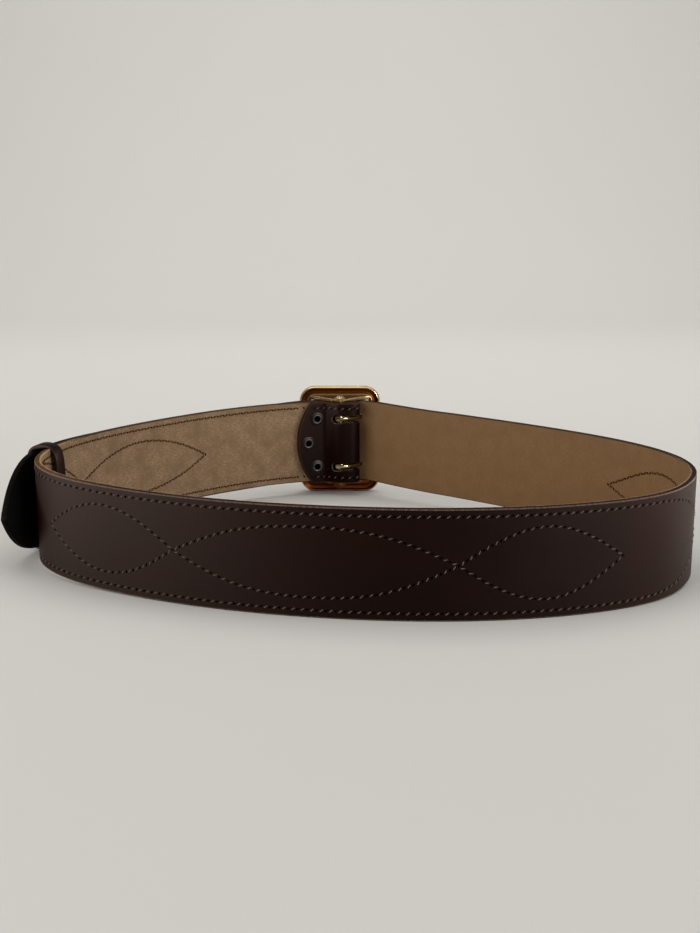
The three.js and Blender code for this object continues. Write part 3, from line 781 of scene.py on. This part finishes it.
def bar_parts(metal):
    """The bar, a web at each end of it, and the bar's ends closed over in low diamonds. A web's
    outer face slopes by a smooth step from its lip, at the nose, to its full thickness."""
    clear = HALF_WIDTH + WEB["clear"]
    centre = np.array([BUCKLE_X, BAR_Y, BELT_MIDDLE])
    x_axis, y_axis, z_axis = np.eye(3)
    bar = mm(metal.bar)
    profile = [(0, -clear - 1), (bar, -clear - 1), (bar, clear + 1), (0, clear + 1)]
    bar_shell = turned(profile, centre, x_axis, y_axis, z_axis, 48)
    bar_shell.place[:] = 0
    parts = [bar_shell]
    outline = web_outline()
    angle = np.linspace(0, 2 * np.pi, 48, endpoint=False)
    power = DIAMOND_POWER
    diamond = (np.abs(np.cos(angle)) ** power + np.abs(np.sin(angle)) ** power) ** (-1 / power)
    radius, rise = np.array(BAR_HEAD).T[..., None]
    radius = radius * diamond
    for end, side in enumerate((1, -1)):
        low = clear if side > 0 else -clear - WEB["thickness"]

        def place(plan, height):
            full = smooth_step(plan[..., 1], WEB["slope_from"], WEB["slope_to"])
            slim = (WEB["thickness"] - WEB["lip"]) * (1 - full)
            outer = np.clip((np.abs(height) - clear) / WEB["thickness"], 0, 1)
            height = height - side * slim * outer
            return centre + raised(plan, height)

        web = plate(outline, low, low + WEB["thickness"], WEB["edge"], place)
        web.place[:, 0] = TARNISH_AND_SHADE["web"][end]
        parts.append(web)
        height = side * (clear + WEB["thickness"] + rise) + 0 * radius
        head = np.stack([radius * np.cos(angle), radius * np.sin(angle), height], -1)
        parts.append(grid_shell(centre + head, place=place_of(
            TARNISH_AND_SHADE["head"][end], 0 * height, 0.0)))
    return parts


def prong_parts(offset, grow=0.0):
    """A prong's ring round the bar, and its shaft: a rounded section that tapers along a curve.
    The shaft can be grown all round, to cut the hole that it stands in."""
    centre = np.array([BUCKLE_X, BAR_Y, BELT_MIDDLE + offset])
    inner, outer = PRONG["ring_inner"], PRONG["ring_outer"]
    section = rounded((outer - inner) / 2, PRONG["ring_half"], PRONG["ring_corner"])
    angle = np.linspace(0, 2 * np.pi, 64, endpoint=False)[:, None]
    radius = (inner + outer) / 2 + section[:, 0]
    ring = np.stack([radius * np.cos(angle), radius * np.sin(angle), section[:, 1] + 0 * angle], -1)

    line = PlanCurve(PRONG_ROUTE)
    start = PRONG["tip_from"]
    round_share = (1 - start) * np.sin(np.linspace(0, np.pi / 2, 9)[1:])
    share = np.r_[np.linspace(0, start, 44), start + round_share]
    point, side = line.at(line.length * share)
    tip = np.clip((share - start) / (1 - start), 0, 1)
    slim = (1 - PRONG["taper"] * share) * np.sqrt(np.maximum(1 - tip**2, 0.01))
    section = rounded(PRONG["half_thick"] + grow, PRONG["half_high"] + grow, PRONG["corner"])
    plan = point[:, None] + side[:, None] * (slim[:, None] * section[:, 0])[..., None]
    shaft = raised(plan, centre[2] + slim[:, None] * section[:, 1])
    return grid_shell(centre + ring, closed_rows=True), grid_shell(shaft)


# The snaps' sections, as radii and heights over the flap's face: the face with its rolled rim and
# its socket, and the cap on the strap's outer side
SNAP_FACE = (
    (0, -4.2), (1.6, -4.2), (1.9, -4.0), (1.95, -3.4), (2.0, 0.7), (2.15, 1.02), (2.5, 1.26),
    (2.9, 1.3), (3.25, 1.16), (3.55, 0.84), (3.9, 0.66), (4.4, 0.6), (4.62, 0.5),
    (4.65, 0.3), (4.6, 0.1), (4.4, 0.0), (2.9, 0.0), (2.9, -7.7), (0, -7.7),
)
SNAP_BACK = (
    (0, -7.85), (4.4, -7.85), (4.6, -8.0), (4.6, -8.35), (4.4, -8.65), (3.6, -8.9), (2.0, -8.98),
    (0, -9.0),
)


# Keeper

# The keeper's outer outline, outwards across the strap and up, and its opening beside it: an
# arch over the edges above, and a flatter sole below, where the free end hangs lower
KEEPER_OUTER = (
    (13.0, 10), (13.0, 22), (12.7, 25), (11.6, 27.4), (9.6, 29.2), (7, 30.3), (4.2, 30.7),
    (1, 30.4), (-1.8, 29.5), (-4, 27.6), (-5.4, 24.2), (-6.1, 19.5), (-6.4, 12), (-6.5, 0),
    (-6.5, -14), (-6, -23.5), (-5, -28.6), (-3.2, -31), (0, -32.3), (6, -32.6), (10.3, -32.4),
    (12.2, -31.2), (12.9, -29), (13, -24), (13.0, -8),
)
KEEPER_INNER = (
    (11.0, 10), (11.0, 21), (10.9, 24.4), (10.3, 26.3), (9, 27.4), (6.8, 28), (4.2, 28.5),
    (1, 28.9), (-1.5, 28.8), (-2.8, 27.2), (-3.8, 24), (-4.4, 19.5), (-4.7, 12), (-4.8, 0),
    (-4.8, -14), (-4.4, -23), (-3.3, -27.5), (-2, -29.4), (0, -30.4), (6, -30.9), (9.4, -30.9),
    (10.6, -30.1), (10.9, -28.3), (11, -24), (11.0, -8),
)
KEEPER_RIM = 0.4  # how wide the painted highlight along the edges of the keeper's band is


def keeper_shell(leather):
    """The keeper's band: its section between the opening and the outer outline, carried round.
    The place of a point is how far it is across the band, its depth in the band, from nought to
    one, and its length round the loop."""
    inner, outer = closed_curve(KEEPER_INNER, 5), closed_curve(KEEPER_OUTER, 5)
    half = mm(leather.keeper_band) / 2
    section = rounded(half, 0.5, 0.3)
    depth = section[:, 1] + 0.5
    loop = inner[:, None] + (outer - inner)[:, None] * depth[:, None]
    point, side = RING.at(KEEPER_ALONG)
    ahead = -left_of(side)
    plan = point - side * loop[..., :1] + ahead * section[:, :1]
    height = HALF_WIDTH + lift(point) + loop[..., 1:]
    steps = np.linalg.norm(outer - np.roll(outer, 1, axis=0), axis=1)[:, None]
    return grid_shell(np.concatenate([plan, height], -1), closed_rows=True,
                      place=place_of(section[:, 0], depth, np.cumsum(steps, axis=0)))


# Materials

def add(tree, kind, inputs=(), **settings):
    """Adds a node with its settings. Its inputs have names, or else they go to its sockets in use
    in their order: for Map Range a value, the range it comes from and the range it goes to, and
    for Mix a share and two colours. Each input is a value, another node's output, or another
    node, whose first output in use is meant."""
    made = tree.nodes.new("ShaderNode" + kind)
    for name, value in settings.items():
        setattr(made, name, value)
    if not isinstance(inputs, dict):
        used = (index for index, socket in enumerate(made.inputs) if socket.enabled)
        inputs = dict(zip(used, inputs))
    for name, value in inputs.items():
        if isinstance(value, bpy.types.Node):
            value = next(output for output in value.outputs if output.enabled)
        if isinstance(value, bpy.types.NodeSocket):
            tree.links.new(value, made.inputs[name])
        else:
            made.inputs[name].default_value = value
    return made


def blend(tree, value, start, end, low, high, most=1.0):
    """A colour that goes from low to high, or most of the way, as a value goes from its start to
    its end."""
    share = add(tree, "MapRange", (value, start, end, 0.0, most))
    return add(tree, "Mix", (share, low, high), data_type="RGBA")


def shaded(light, share):
    """A colour with its three channels multiplied by a share."""
    return tuple(channel * share for channel in light[:3]) + (1.0,)


def material_of(name, finish, *settings):
    """A material whose shader's inputs are worked out by a finish, with nodes in its tree."""
    material = bpy.data.materials.new(name)
    material.use_nodes = True
    tree = material.node_tree
    tree.nodes.clear()
    shader = add(tree, "BsdfPrincipled", finish(tree, *settings))
    add(tree, "OutputMaterial", {"Surface": shader})
    return material


# A finish takes a node tree and settings, and gives the shader's inputs. A noise's scale is one
# over the size of its patches in mm, or 1000 over it where the place is in metres.

# Lengths along the strap between which its colours change
WORN_FROM, WORN_TO, WORN_BEND = (262, 285), (720, 790), (345, 400)
RUDDY_HIDE, DARK_FREE_END, BLACK_EDGE = (690, 760), (1190, 1225), (1225, 1250)
PAST_RIM = (30, 34)


def bridle_leather(tree, leather, layer, rim=None):
    """Bridle leather: dyed, waxed and polished grain. The wax gives a soft gloss that is broken
    by fine pores, and the dye drifts slowly where the hide took more or less of it. A rim is how
    far from the middle of a band its painted highlight begins, a light line on its rounded edges."""
    where = add(tree, "UVMap", uv_map=layer)
    # Pores of about 0.9 mm, coarser than the real half millimetre, so that they show
    pores = add(tree, "TexNoise", {
        "Vector": where, "Scale": 1 / 0.9, "Detail": 4.0, "Roughness": 0.6})
    creases = add(tree, "TexVoronoi", {"Vector": where, "Scale": 1 / 1.8},
                  feature="DISTANCE_TO_EDGE")
    drift = add(tree, "TexNoise", {"Vector": where, "Scale": 1 / 35, "Detail": 3.0})
    dyed = leather.grain_colour
    shade = blend(tree, drift, 0.35, 0.65, dyed, shaded(dyed, 0.75))
    # Painted highlight along the band's rounded edges
    if rim:
        band = add(tree, "SeparateXYZ", (where,))
        off = add(tree, "Math", (band,), operation="ABSOLUTE")
        shade = blend(tree, off, rim, rim + 0.2, shade, leather.arris_highlight_colour, most=0.12)
    gloss = add(tree, "MapRange", (pores, 0.3, 0.7, 0.4, 0.54))
    grain = add(tree, "Bump", {"Height": pores, "Strength": 0.25, "Distance": 0.00006})
    fine = add(tree, "Bump", {
        "Height": creases, "Strength": 0.12, "Distance": 0.00006, "Normal": grain})
    return {"Base Color": shade, "Roughness": gloss, "Specular IOR Level": 0.03, "Normal": fine}


def leather_flesh(tree, leather):
    """Flesh side of vegetable-tanned leather, undyed and burnished: matt, short fibres that are
    matted together and give cloudy patches. It is ruddy right of the buckle, and near black
    towards the free end."""
    where = add(tree, "UVMap", uv_map=FACE_PLACE)
    along = add(tree, "Mapping", {"Vector": where, "Scale": (0.35, 1, 1)})
    fibres = add(tree, "TexNoise", {
        "Vector": along, "Scale": 1 / 0.8, "Detail": 5.0, "Roughness": 0.65})
    clouds = add(tree, "TexNoise", {
        "Vector": where, "Scale": 1 / 11, "Detail": 4.0, "Roughness": 0.6})
    length = add(tree, "SeparateXYZ", (where,))
    dark = leather.flesh_dark_colour
    patches = blend(tree, clouds, 0.36, 0.64, dark, leather.flesh_colour)
    hide = blend(tree, fibres, 0.36, 0.6, shaded(dark, 0.84), patches)
    belly = blend(tree, length, *RUDDY_HIDE, hide, leather.flesh_ruddy_colour, most=0.75)
    shade = blend(tree, length, *DARK_FREE_END, belly, leather.free_end_dark_colour)
    bump = add(tree, "Bump", {"Height": fibres, "Strength": 0.5, "Distance": 0.00012})
    return {"Base Color": shade, "Roughness": 0.85, "Specular IOR Level": 0.05, "Normal": bump}


def leather_edge(tree, leather):
    """Edge of the strap, dyed and burnished with wax over packed fibres. Round the left bend the
    dye has worn off it, and along the front off its flesh-side arris, while its grain-side arris
    there has a painted highlight. The free end's is black."""
    where = add(tree, "UVMap", uv_map=DEPTH_PLACE)
    place = add(tree, "SeparateXYZ", (where,))
    length, depth = place.outputs["X"], place.outputs["Y"]
    fibres = add(tree, "TexNoise", {"Vector": where, "Scale": 1 / 1.6, "Detail": 4.0})
    patchy = add(tree, "MapRange", (fibres, 0.38, 0.6, 0.35, 1.0))
    begins = add(tree, "MapRange", (length, *WORN_FROM, 0.12, 1.0))
    ends = add(tree, "MapRange", (length, *WORN_TO, 1.0, 0.12))
    both = add(tree, "Math", (begins, ends), operation="MULTIPLY")
    worn = add(tree, "Math", (both, patchy), operation="MULTIPLY")
    bend = add(tree, "MapRange", (length, *WORN_BEND, 1.0, 0.0))
    bare = add(tree, "Math", (worn, bend), operation="MULTIPLY")
    shade = add(tree, "Mix", (bare, leather.dyed_edge_colour, leather.worn_edge_colour),
                data_type="RGBA")
    thin = add(tree, "MapRange", (bend, 0.0, 1.0, 0.5, 0.6))
    arris_highlight = add(tree, "Math", (worn, thin), operation="MULTIPLY")
    # Flesh-side arris: raw where the dye wore off; grain-side arris: a painted highlight
    arrises = ((0.7, 1.05, leather.raw_edge_colour, worn),
               (-1.3, -1.6, leather.arris_highlight_colour, arris_highlight))
    for start, end, light, strength in arrises:
        line = add(tree, "MapRange", (depth, start, end))
        share = add(tree, "Math", (line, strength), operation="MULTIPLY")
        shade = add(tree, "Mix", (share, shade, light), data_type="RGBA")
    # Near black towards the free end: a darker copy of its colour, painted shade on the tip's edge
    darkened_end = blend(tree, length, *BLACK_EDGE, shade, shaded(leather.free_end_dark_colour, 0.4))
    bump = add(tree, "Bump", {"Height": fibres, "Strength": 0.3, "Distance": 0.0001})
    return {"Base Color": darkened_end, "Roughness": 0.6, "Specular IOR Level": 0.025, "Normal": bump}


def punched_leather(tree, leather):
    """Leather where a punch went through it, matt and fibrous. It is pale at the rims of the
    slots' ends on the flap. Deeper in from the grain face and past those ends it takes the grain's
    dark brown: partly dye, partly painted shade of the unlit cuts."""
    where = add(tree, "UVMap", uv_map=DEPTH_PLACE)
    place = add(tree, "SeparateXYZ", (where,))
    fibres = add(tree, "TexNoise", {"Vector": where, "Scale": 1 / 0.6, "Detail": 4.0})
    light = leather.cut_colour
    core = blend(tree, fibres, 0.35, 0.65, shaded(light, 0.6), light)
    # Dark past the slots' near ends and deeper in: partly dye, partly painted shade
    beyond = add(tree, "MapRange", (place.outputs["X"], *PAST_RIM))
    inside = add(tree, "MapRange", (place.outputs["Y"], -1.4, -0.9))
    dyed = add(tree, "Math", (beyond, inside), operation="MAXIMUM")
    shade = add(tree, "Mix", (dyed, core, leather.grain_colour), data_type="RGBA")
    return {"Base Color": shade, "Roughness": 0.8, "Specular IOR Level": 0.1}


def pierced_leather(tree, leather):
    """Leather inside the awl's holes: pressed together, matt, and dark with wax off the thread and
    with painted shade down in the hole.
    """
    where = add(tree, "UVMap", uv_map=FACE_PLACE)
    wax = add(tree, "TexNoise", {"Vector": where, "Scale": 1 / 0.6})
    dark = leather.pierced_colour
    shade = add(tree, "Mix", (wax, shaded(dark, 0.5), dark), data_type="RGBA")
    return {"Base Color": shade, "Roughness": 0.9, "Specular IOR Level": 0.02}


def waxed_thread(tree, light, shine):
    """Waxed linen thread, laid from plies, with the wax's shine on top of each bead."""
    where = add(tree, "UVMap", uv_map=FACE_PLACE)
    plies = add(tree, "TexNoise", {"Vector": where, "Scale": 1 / 0.35, "Detail": 2.0})
    shade = blend(tree, plies, 0.35, 0.65, shaded(light, 0.5), light)
    bump = add(tree, "Bump", {"Height": plies, "Strength": 0.4, "Distance": 0.0001})
    return {"Base Color": shade, "Roughness": 0.32, "Specular IOR Level": shine, "Normal": bump}


def cast_brass(tree, bare, tarnish_and_shade):
    """Cast brass, tumbled and handled: bare where it rubs, and brown where tarnished, in thin
    patches and in the hollows of the casting. In the hollows and on the buckle's lower side the
    brown is partly painted shade."""
    where = add(tree, "TexCoord").outputs["Object"]
    hollow = add(tree, "SeparateXYZ", (add(tree, "UVMap", uv_map=FACE_PLACE),))
    patches = add(tree, "TexNoise", {
        "Vector": where, "Scale": 1000 / 9, "Detail": 4.0, "Roughness": 0.55})
    skin = add(tree, "TexNoise", {"Vector": where, "Scale": 1000 / 1.4, "Detail": 2.0})
    thin = add(tree, "MapRange", (patches, 0.45, 0.75, 0.0, 0.3))
    # Tarnished brown from the hollows and patches, with painted shade in the hollows and below
    share = add(tree, "Math", (hollow, thin), operation="ADD", use_clamp=True)
    shade = add(tree, "Mix", (share, bare, tarnish_and_shade), data_type="RGBA")
    rough = add(tree, "MapRange", (share, 0.0, 1.0, 0.16, 0.36))
    bump = add(tree, "Bump", {"Height": skin, "Strength": 0.12, "Distance": 0.0001})
    return {"Base Color": shade, "Metallic": 1.0, "Roughness": rough, "Normal": bump}


def blackened_steel(tree, dark):
    """Steel with a gunmetal finish: dark grey and rubbed lighter in fine specks, and darker on the
    flange outside the rolled rim. Down in the snap's socket it is painted black, as the socket's
    shade. The place is the radius and height on a snap."""
    where = add(tree, "TexCoord").outputs["Object"]
    place = add(tree, "SeparateXYZ", (add(tree, "UVMap", uv_map=FACE_PLACE),))
    radius, height = place.outputs["X"], place.outputs["Y"]
    specks = add(tree, "TexNoise", {"Vector": where, "Scale": 1000 / 0.9, "Detail": 4.0})
    rubbed = blend(tree, specks, 0.45, 0.75, dark, shaded(dark, 1.8))
    flange = blend(tree, radius, 3.2, 3.7, rubbed, shaded(dark, 0.2), most=0.75)
    # Painted shade: black down in the socket
    down = add(tree, "MapRange", (height, 0.4, -0.4))
    above = add(tree, "MapRange", (height, -7.4, -7.0))
    socket = add(tree, "Math", (down, above), operation="MULTIPLY")
    shade = add(tree, "Mix", (socket, flange, shaded(dark, 0.02)), data_type="RGBA")
    rough = add(tree, "MapRange", (specks, 0.3, 0.7, 0.34, 0.5))
    return {"Base Color": shade, "Metallic": 1.0, "Roughness": rough}


def painted_backdrop(tree, light):
    """Matt paper backdrop: no shine, and tone that drifts a little."""
    where = add(tree, "TexCoord").outputs["Object"]
    drift = add(tree, "TexNoise", {"Vector": where, "Scale": 3.3, "Detail": 1.0})
    shade = add(tree, "Mix", (drift, light, shaded(light, 0.985)), data_type="RGBA")
    return {"Base Color": shade, "Roughness": 0.95, "Specular IOR Level": 0.1}


# Operators

class BeltOperator:
    """What the belt's operators share."""

    bl_options = {"REGISTER", "UNDO"}


class BELT_OT_strap(BeltOperator, bpy.types.Operator):
    """Make the leather strap with its slots and holes"""

    bl_idname = "belt.strap"
    bl_label = "Strap"

    def execute(self, context):
        belt = context.scene.belt
        leather = belt.leather
        # In the order of their slots
        materials = [
            material_of("bridle_leather_grain_side", bridle_leather, leather, FACE_PLACE),
            material_of("leather_flesh_side", leather_flesh, leather),
            material_of("burnished_leather_edge", leather_edge, leather),
            material_of("punched_leather", punched_leather, leather),
            material_of("pierced_leather", pierced_leather, leather),
        ]
        strap = piece("leather_strap", strap_shell(mm(leather.edge_round)), materials,
                      cut=strap_cutters(belt.stitch))
        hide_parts("strap")
        return {"FINISHED"}


class BELT_OT_stitches(BeltOperator, bpy.types.Operator):
    """Make the saddle stitches on both sides of the strap"""

    bl_idname = "belt.stitches"
    bl_label = "Stitches"

    def execute(self, context):
        stitch = context.scene.belt.stitch
        # The grain side's thread colour is lightened with painted sheen
        outer = material_of("waxed_thread_polished", waxed_thread, stitch.thread_sheen_colour, 0.15)
        inner = material_of("waxed_thread_plain", waxed_thread, stitch.inner_thread_colour, 0.05)
        pitch, thread, plump = mm(stitch.pitch), mm(stitch.thread), mm(stitch.inner_thread)
        grain = stitch_beads(pitch, thread, -1, BEAD["grain_share"], mm(stitch.grain_slant))
        flesh = stitch_beads(pitch, plump, 1, BEAD["flesh_share"], mm(stitch.flesh_slant),
                             HIDDEN_FLESH)
        piece("stitches_on_grain_side", grain, [outer], 60)
        piece("stitches_on_flesh_side", flesh, [inner], 60)
        return {"FINISHED"}


class BELT_OT_buckle(BeltOperator, bpy.types.Operator):
    """Make the buckle, cast in one with its bar"""

    bl_idname = "belt.buckle"
    bl_label = "Buckle"

    def execute(self, context):
        metal = context.scene.belt.metal
        brass = material_of("polished_brass", cast_brass, metal.brass_colour,
                            metal.tarnish_and_shade_colour)
        buckle = piece("cast_buckle", frame_shell(metal), [brass], 40, added=bar_parts(metal))
        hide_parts("buckle_frame")
        return {"FINISHED"}


class BELT_OT_prongs(BeltOperator, bpy.types.Operator):
    """Make the two prongs that turn on the bar"""

    bl_idname = "belt.prongs"
    bl_label = "Prongs"

    def execute(self, context):
        metal = context.scene.belt.metal
        # A darker brass for the prongs: partly dull, partly painted shade of the slots
        brass = material_of("rubbed_brass", cast_brass, metal.prong_dull_and_shade_colour,
                            metal.tarnish_and_shade_colour)
        for place, offset in zip(("upper", "lower"), PRONG_OFFSETS):
            ring, shaft = prong_parts(offset)
            prong = piece(f"cast_prong_{place}", ring, [brass], 40, added=[shaft])
            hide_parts(f"prong_{place}")
        return {"FINISHED"}


class BELT_OT_snaps(BeltOperator, bpy.types.Operator):
    """Make the three snaps that hold the flap, each with its cap"""

    bl_idname = "belt.snaps"
    bl_label = "Snaps"

    def execute(self, context):
        finish = material_of("gunmetal_finished_steel", blackened_steel,
                             context.scene.belt.metal.gunmetal_colour)
        for place, where in SNAP_PLACES.items():
            for kind, node_name, profile in (("face", "snap", SNAP_FACE),
                                             ("back", "snap_cap", SNAP_BACK)):
                shell = turned(profile, *snap_frame(*where))
                snap = piece(f"snap_{kind}_{place}", shell, [finish], 30)
                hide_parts(f"{node_name}_{place}")
        return {"FINISHED"}


class BELT_OT_keeper(BeltOperator, bpy.types.Operator):
    """Make the keeper that holds the free end"""

    bl_idname = "belt.keeper"
    bl_label = "Keeper"

    def execute(self, context):
        leather = context.scene.belt.leather
        rim = mm(leather.keeper_band) / 2 - KEEPER_RIM
        dyed = material_of("dyed_keeper_leather", bridle_leather, leather, DEPTH_PLACE, rim)
        keeper = piece("leather_keeper", keeper_shell(leather), [dyed], 50)
        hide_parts("keeper_loop")
        return {"FINISHED"}


# The backdrop and the lamps in metres, and the camera that was fitted to the photo. A lamp's
# columns: name, place, what it is aimed at, width, height and the setting of its power.
BACKDROP = {"wall_y": 2.6, "radius": 1.2, "front": -4.0, "width": 9.0, "height": 4.0}
LAMPS = (
    ("top_softbox", (0, 0.2, 1.5), (0, 0.1, 0), 1.8, 1.2, "top_light"),
    ("wall_light", (0, 0.9, 1.6), (0, 2.5, 0.4), 3.2, 1.0, "wall_light"),
    ("left_panel", (-1.1, -0.8, 0.6), (0, 0, 0.03), 1.3, 1.0, "left_light"),
    ("right_panel", (1.2, -0.55, 0.6), (0, 0, 0.03), 0.9, 1.0, "right_light"),
    ("left_sheen", (-1.3, -0.9, 0.16), (0, -0.9, 0.16), 2.2, 0.28, "sheen_light"),
    ("right_sheen", (1.3, -0.55, 0.25), (0, -0.55, 0.25), 2.9, 0.46, "sheen_light"),
    ("key_gloss", (0.85, -1.15, 0.42), (0, 0.13, 0.045), 0.6, 0.3, "key_light"),
)
SHEEN_COLOUR, SURROUND_COLOUR = "#ffe9da", "#f4f3f0"
CAMERA = {"lens": 46.3, "clip_end": 50.0, "place": (0.000969, -0.704277, 0.1973), "tilt": 77.97}


class BELT_OT_stage(BeltOperator, bpy.types.Operator):
    """Make the backdrop, the lights and the camera"""

    bl_idname = "belt.stage"
    bl_label = "Stage"

    def execute(self, context):
        scene, stage = context.scene, context.scene.belt.stage
        # A floor that turns up into a wall on a quarter circle
        wall_y, radius, front, width, height = BACKDROP.values()
        angle = np.linspace(0, np.pi / 2, 25)
        y = np.r_[front, wall_y - radius + radius * np.sin(angle), wall_y]
        z = np.r_[0, radius * (1 - np.cos(angle)), height]
        x = np.array([-width / 2, width / 2])[:, None]
        points = np.stack([x + 0 * y, y + 0 * x, z + 0 * x], -1)
        faces = quads(2, len(y), closed_columns=False)
        mesh = bpy.data.meshes.new("backdrop")
        mesh.from_pydata(points.reshape(-1, 3).tolist(), [], faces[:, ::-1].tolist())
        mesh.shade_smooth()
        backdrop = placed("backdrop", mesh)
        mesh.materials.append(
            material_of("matt_paper_backdrop", painted_backdrop, stage.backdrop_colour))

        world = bpy.data.worlds.new("studio")
        world.use_nodes = True
        background = world.node_tree.nodes["Background"]
        background.inputs["Color"].default_value = linear(SURROUND_COLOUR)
        background.inputs["Strength"].default_value = stage.surround
        scene.world = world

        leather = bpy.data.collections.new("leather")
        for name in ("leather_strap", "leather_keeper"):
            leather.objects.link(bpy.data.objects[name])
        for name, place, aim, wide, high, setting in LAMPS:
            light = bpy.data.lights.new(name, "AREA")
            light.shape, light.size, light.size_y = "RECTANGLE", wide, high
            light.energy = getattr(stage, setting)
            lamp = placed(name, light)
            lamp.location = place
            lamp.rotation_euler = (Vector(aim) - lamp.location).to_track_quat("-Z", "Y").to_euler()
            lamp.visible_camera = False
            # A panel doesn't show in gloss, and a sheen or gloss lamp shows in nothing else
            lamp.visible_glossy = not name.endswith("panel")
            lamp.visible_diffuse = not name.endswith(("sheen", "gloss"))
            if name.endswith("sheen"):
                light.color = linear(SHEEN_COLOUR)[:3]
                lamp.light_linking.receiver_collection = leather

        camera = bpy.data.cameras.new("camera")
        camera.lens = CAMERA["lens"]
        camera.clip_end = CAMERA["clip_end"]
        eye = placed("camera", camera)
        eye.location = CAMERA["place"]
        eye.rotation_euler = (np.radians(CAMERA["tilt"]), 0, 0)
        scene.camera = eye
        scene.view_settings.view_transform = "Standard"
        return {"FINISHED"}


class BeltSettings(bpy.types.PropertyGroup):
    """All settings of the belt."""

    leather: bpy.props.PointerProperty(name="Leather", type=LeatherSettings)
    stitch: bpy.props.PointerProperty(name="Stitches", type=StitchSettings)
    metal: bpy.props.PointerProperty(name="Metal", type=MetalSettings)
    stage: bpy.props.PointerProperty(name="Stage", type=StageSettings)


OPERATORS = (
    BELT_OT_strap, BELT_OT_stitches, BELT_OT_buckle, BELT_OT_prongs, BELT_OT_snaps,
    BELT_OT_keeper, BELT_OT_stage,
)


class BELT_PT_panel(bpy.types.Panel):
    """The belt's settings and operators"""

    bl_label = "Double buckle belt"
    bl_idname = "BELT_PT_panel"
    bl_space_type = "VIEW_3D"
    bl_region_type = "UI"
    bl_category = "Belt"

    def draw(self, context):
        for name in ("leather", "stitch", "metal", "stage"):
            group = getattr(context.scene.belt, name)
            column = self.layout.column(heading=name.capitalize())
            for key in type(group).__annotations__:
                column.prop(group, key)
        for operator in OPERATORS:
            self.layout.operator(operator.bl_idname)


CLASSES = (
    LeatherSettings, StitchSettings, MetalSettings, StageSettings, BeltSettings, *OPERATORS,
    BELT_PT_panel,
)


def register():
    for item in CLASSES:
        bpy.utils.register_class(item)
    bpy.types.Scene.belt = bpy.props.PointerProperty(type=BeltSettings)


def unregister():
    del bpy.types.Scene.belt
    for item in reversed(CLASSES):
        bpy.utils.unregister_class(item)


def main():
    """Makes every piece in turn."""
    register()
    bpy.ops.belt.strap()
    bpy.ops.belt.stitches()
    bpy.ops.belt.buckle()
    bpy.ops.belt.prongs()
    bpy.ops.belt.snaps()
    bpy.ops.belt.keeper()
    bpy.ops.belt.stage()


if __name__ == "__main__":
    main()
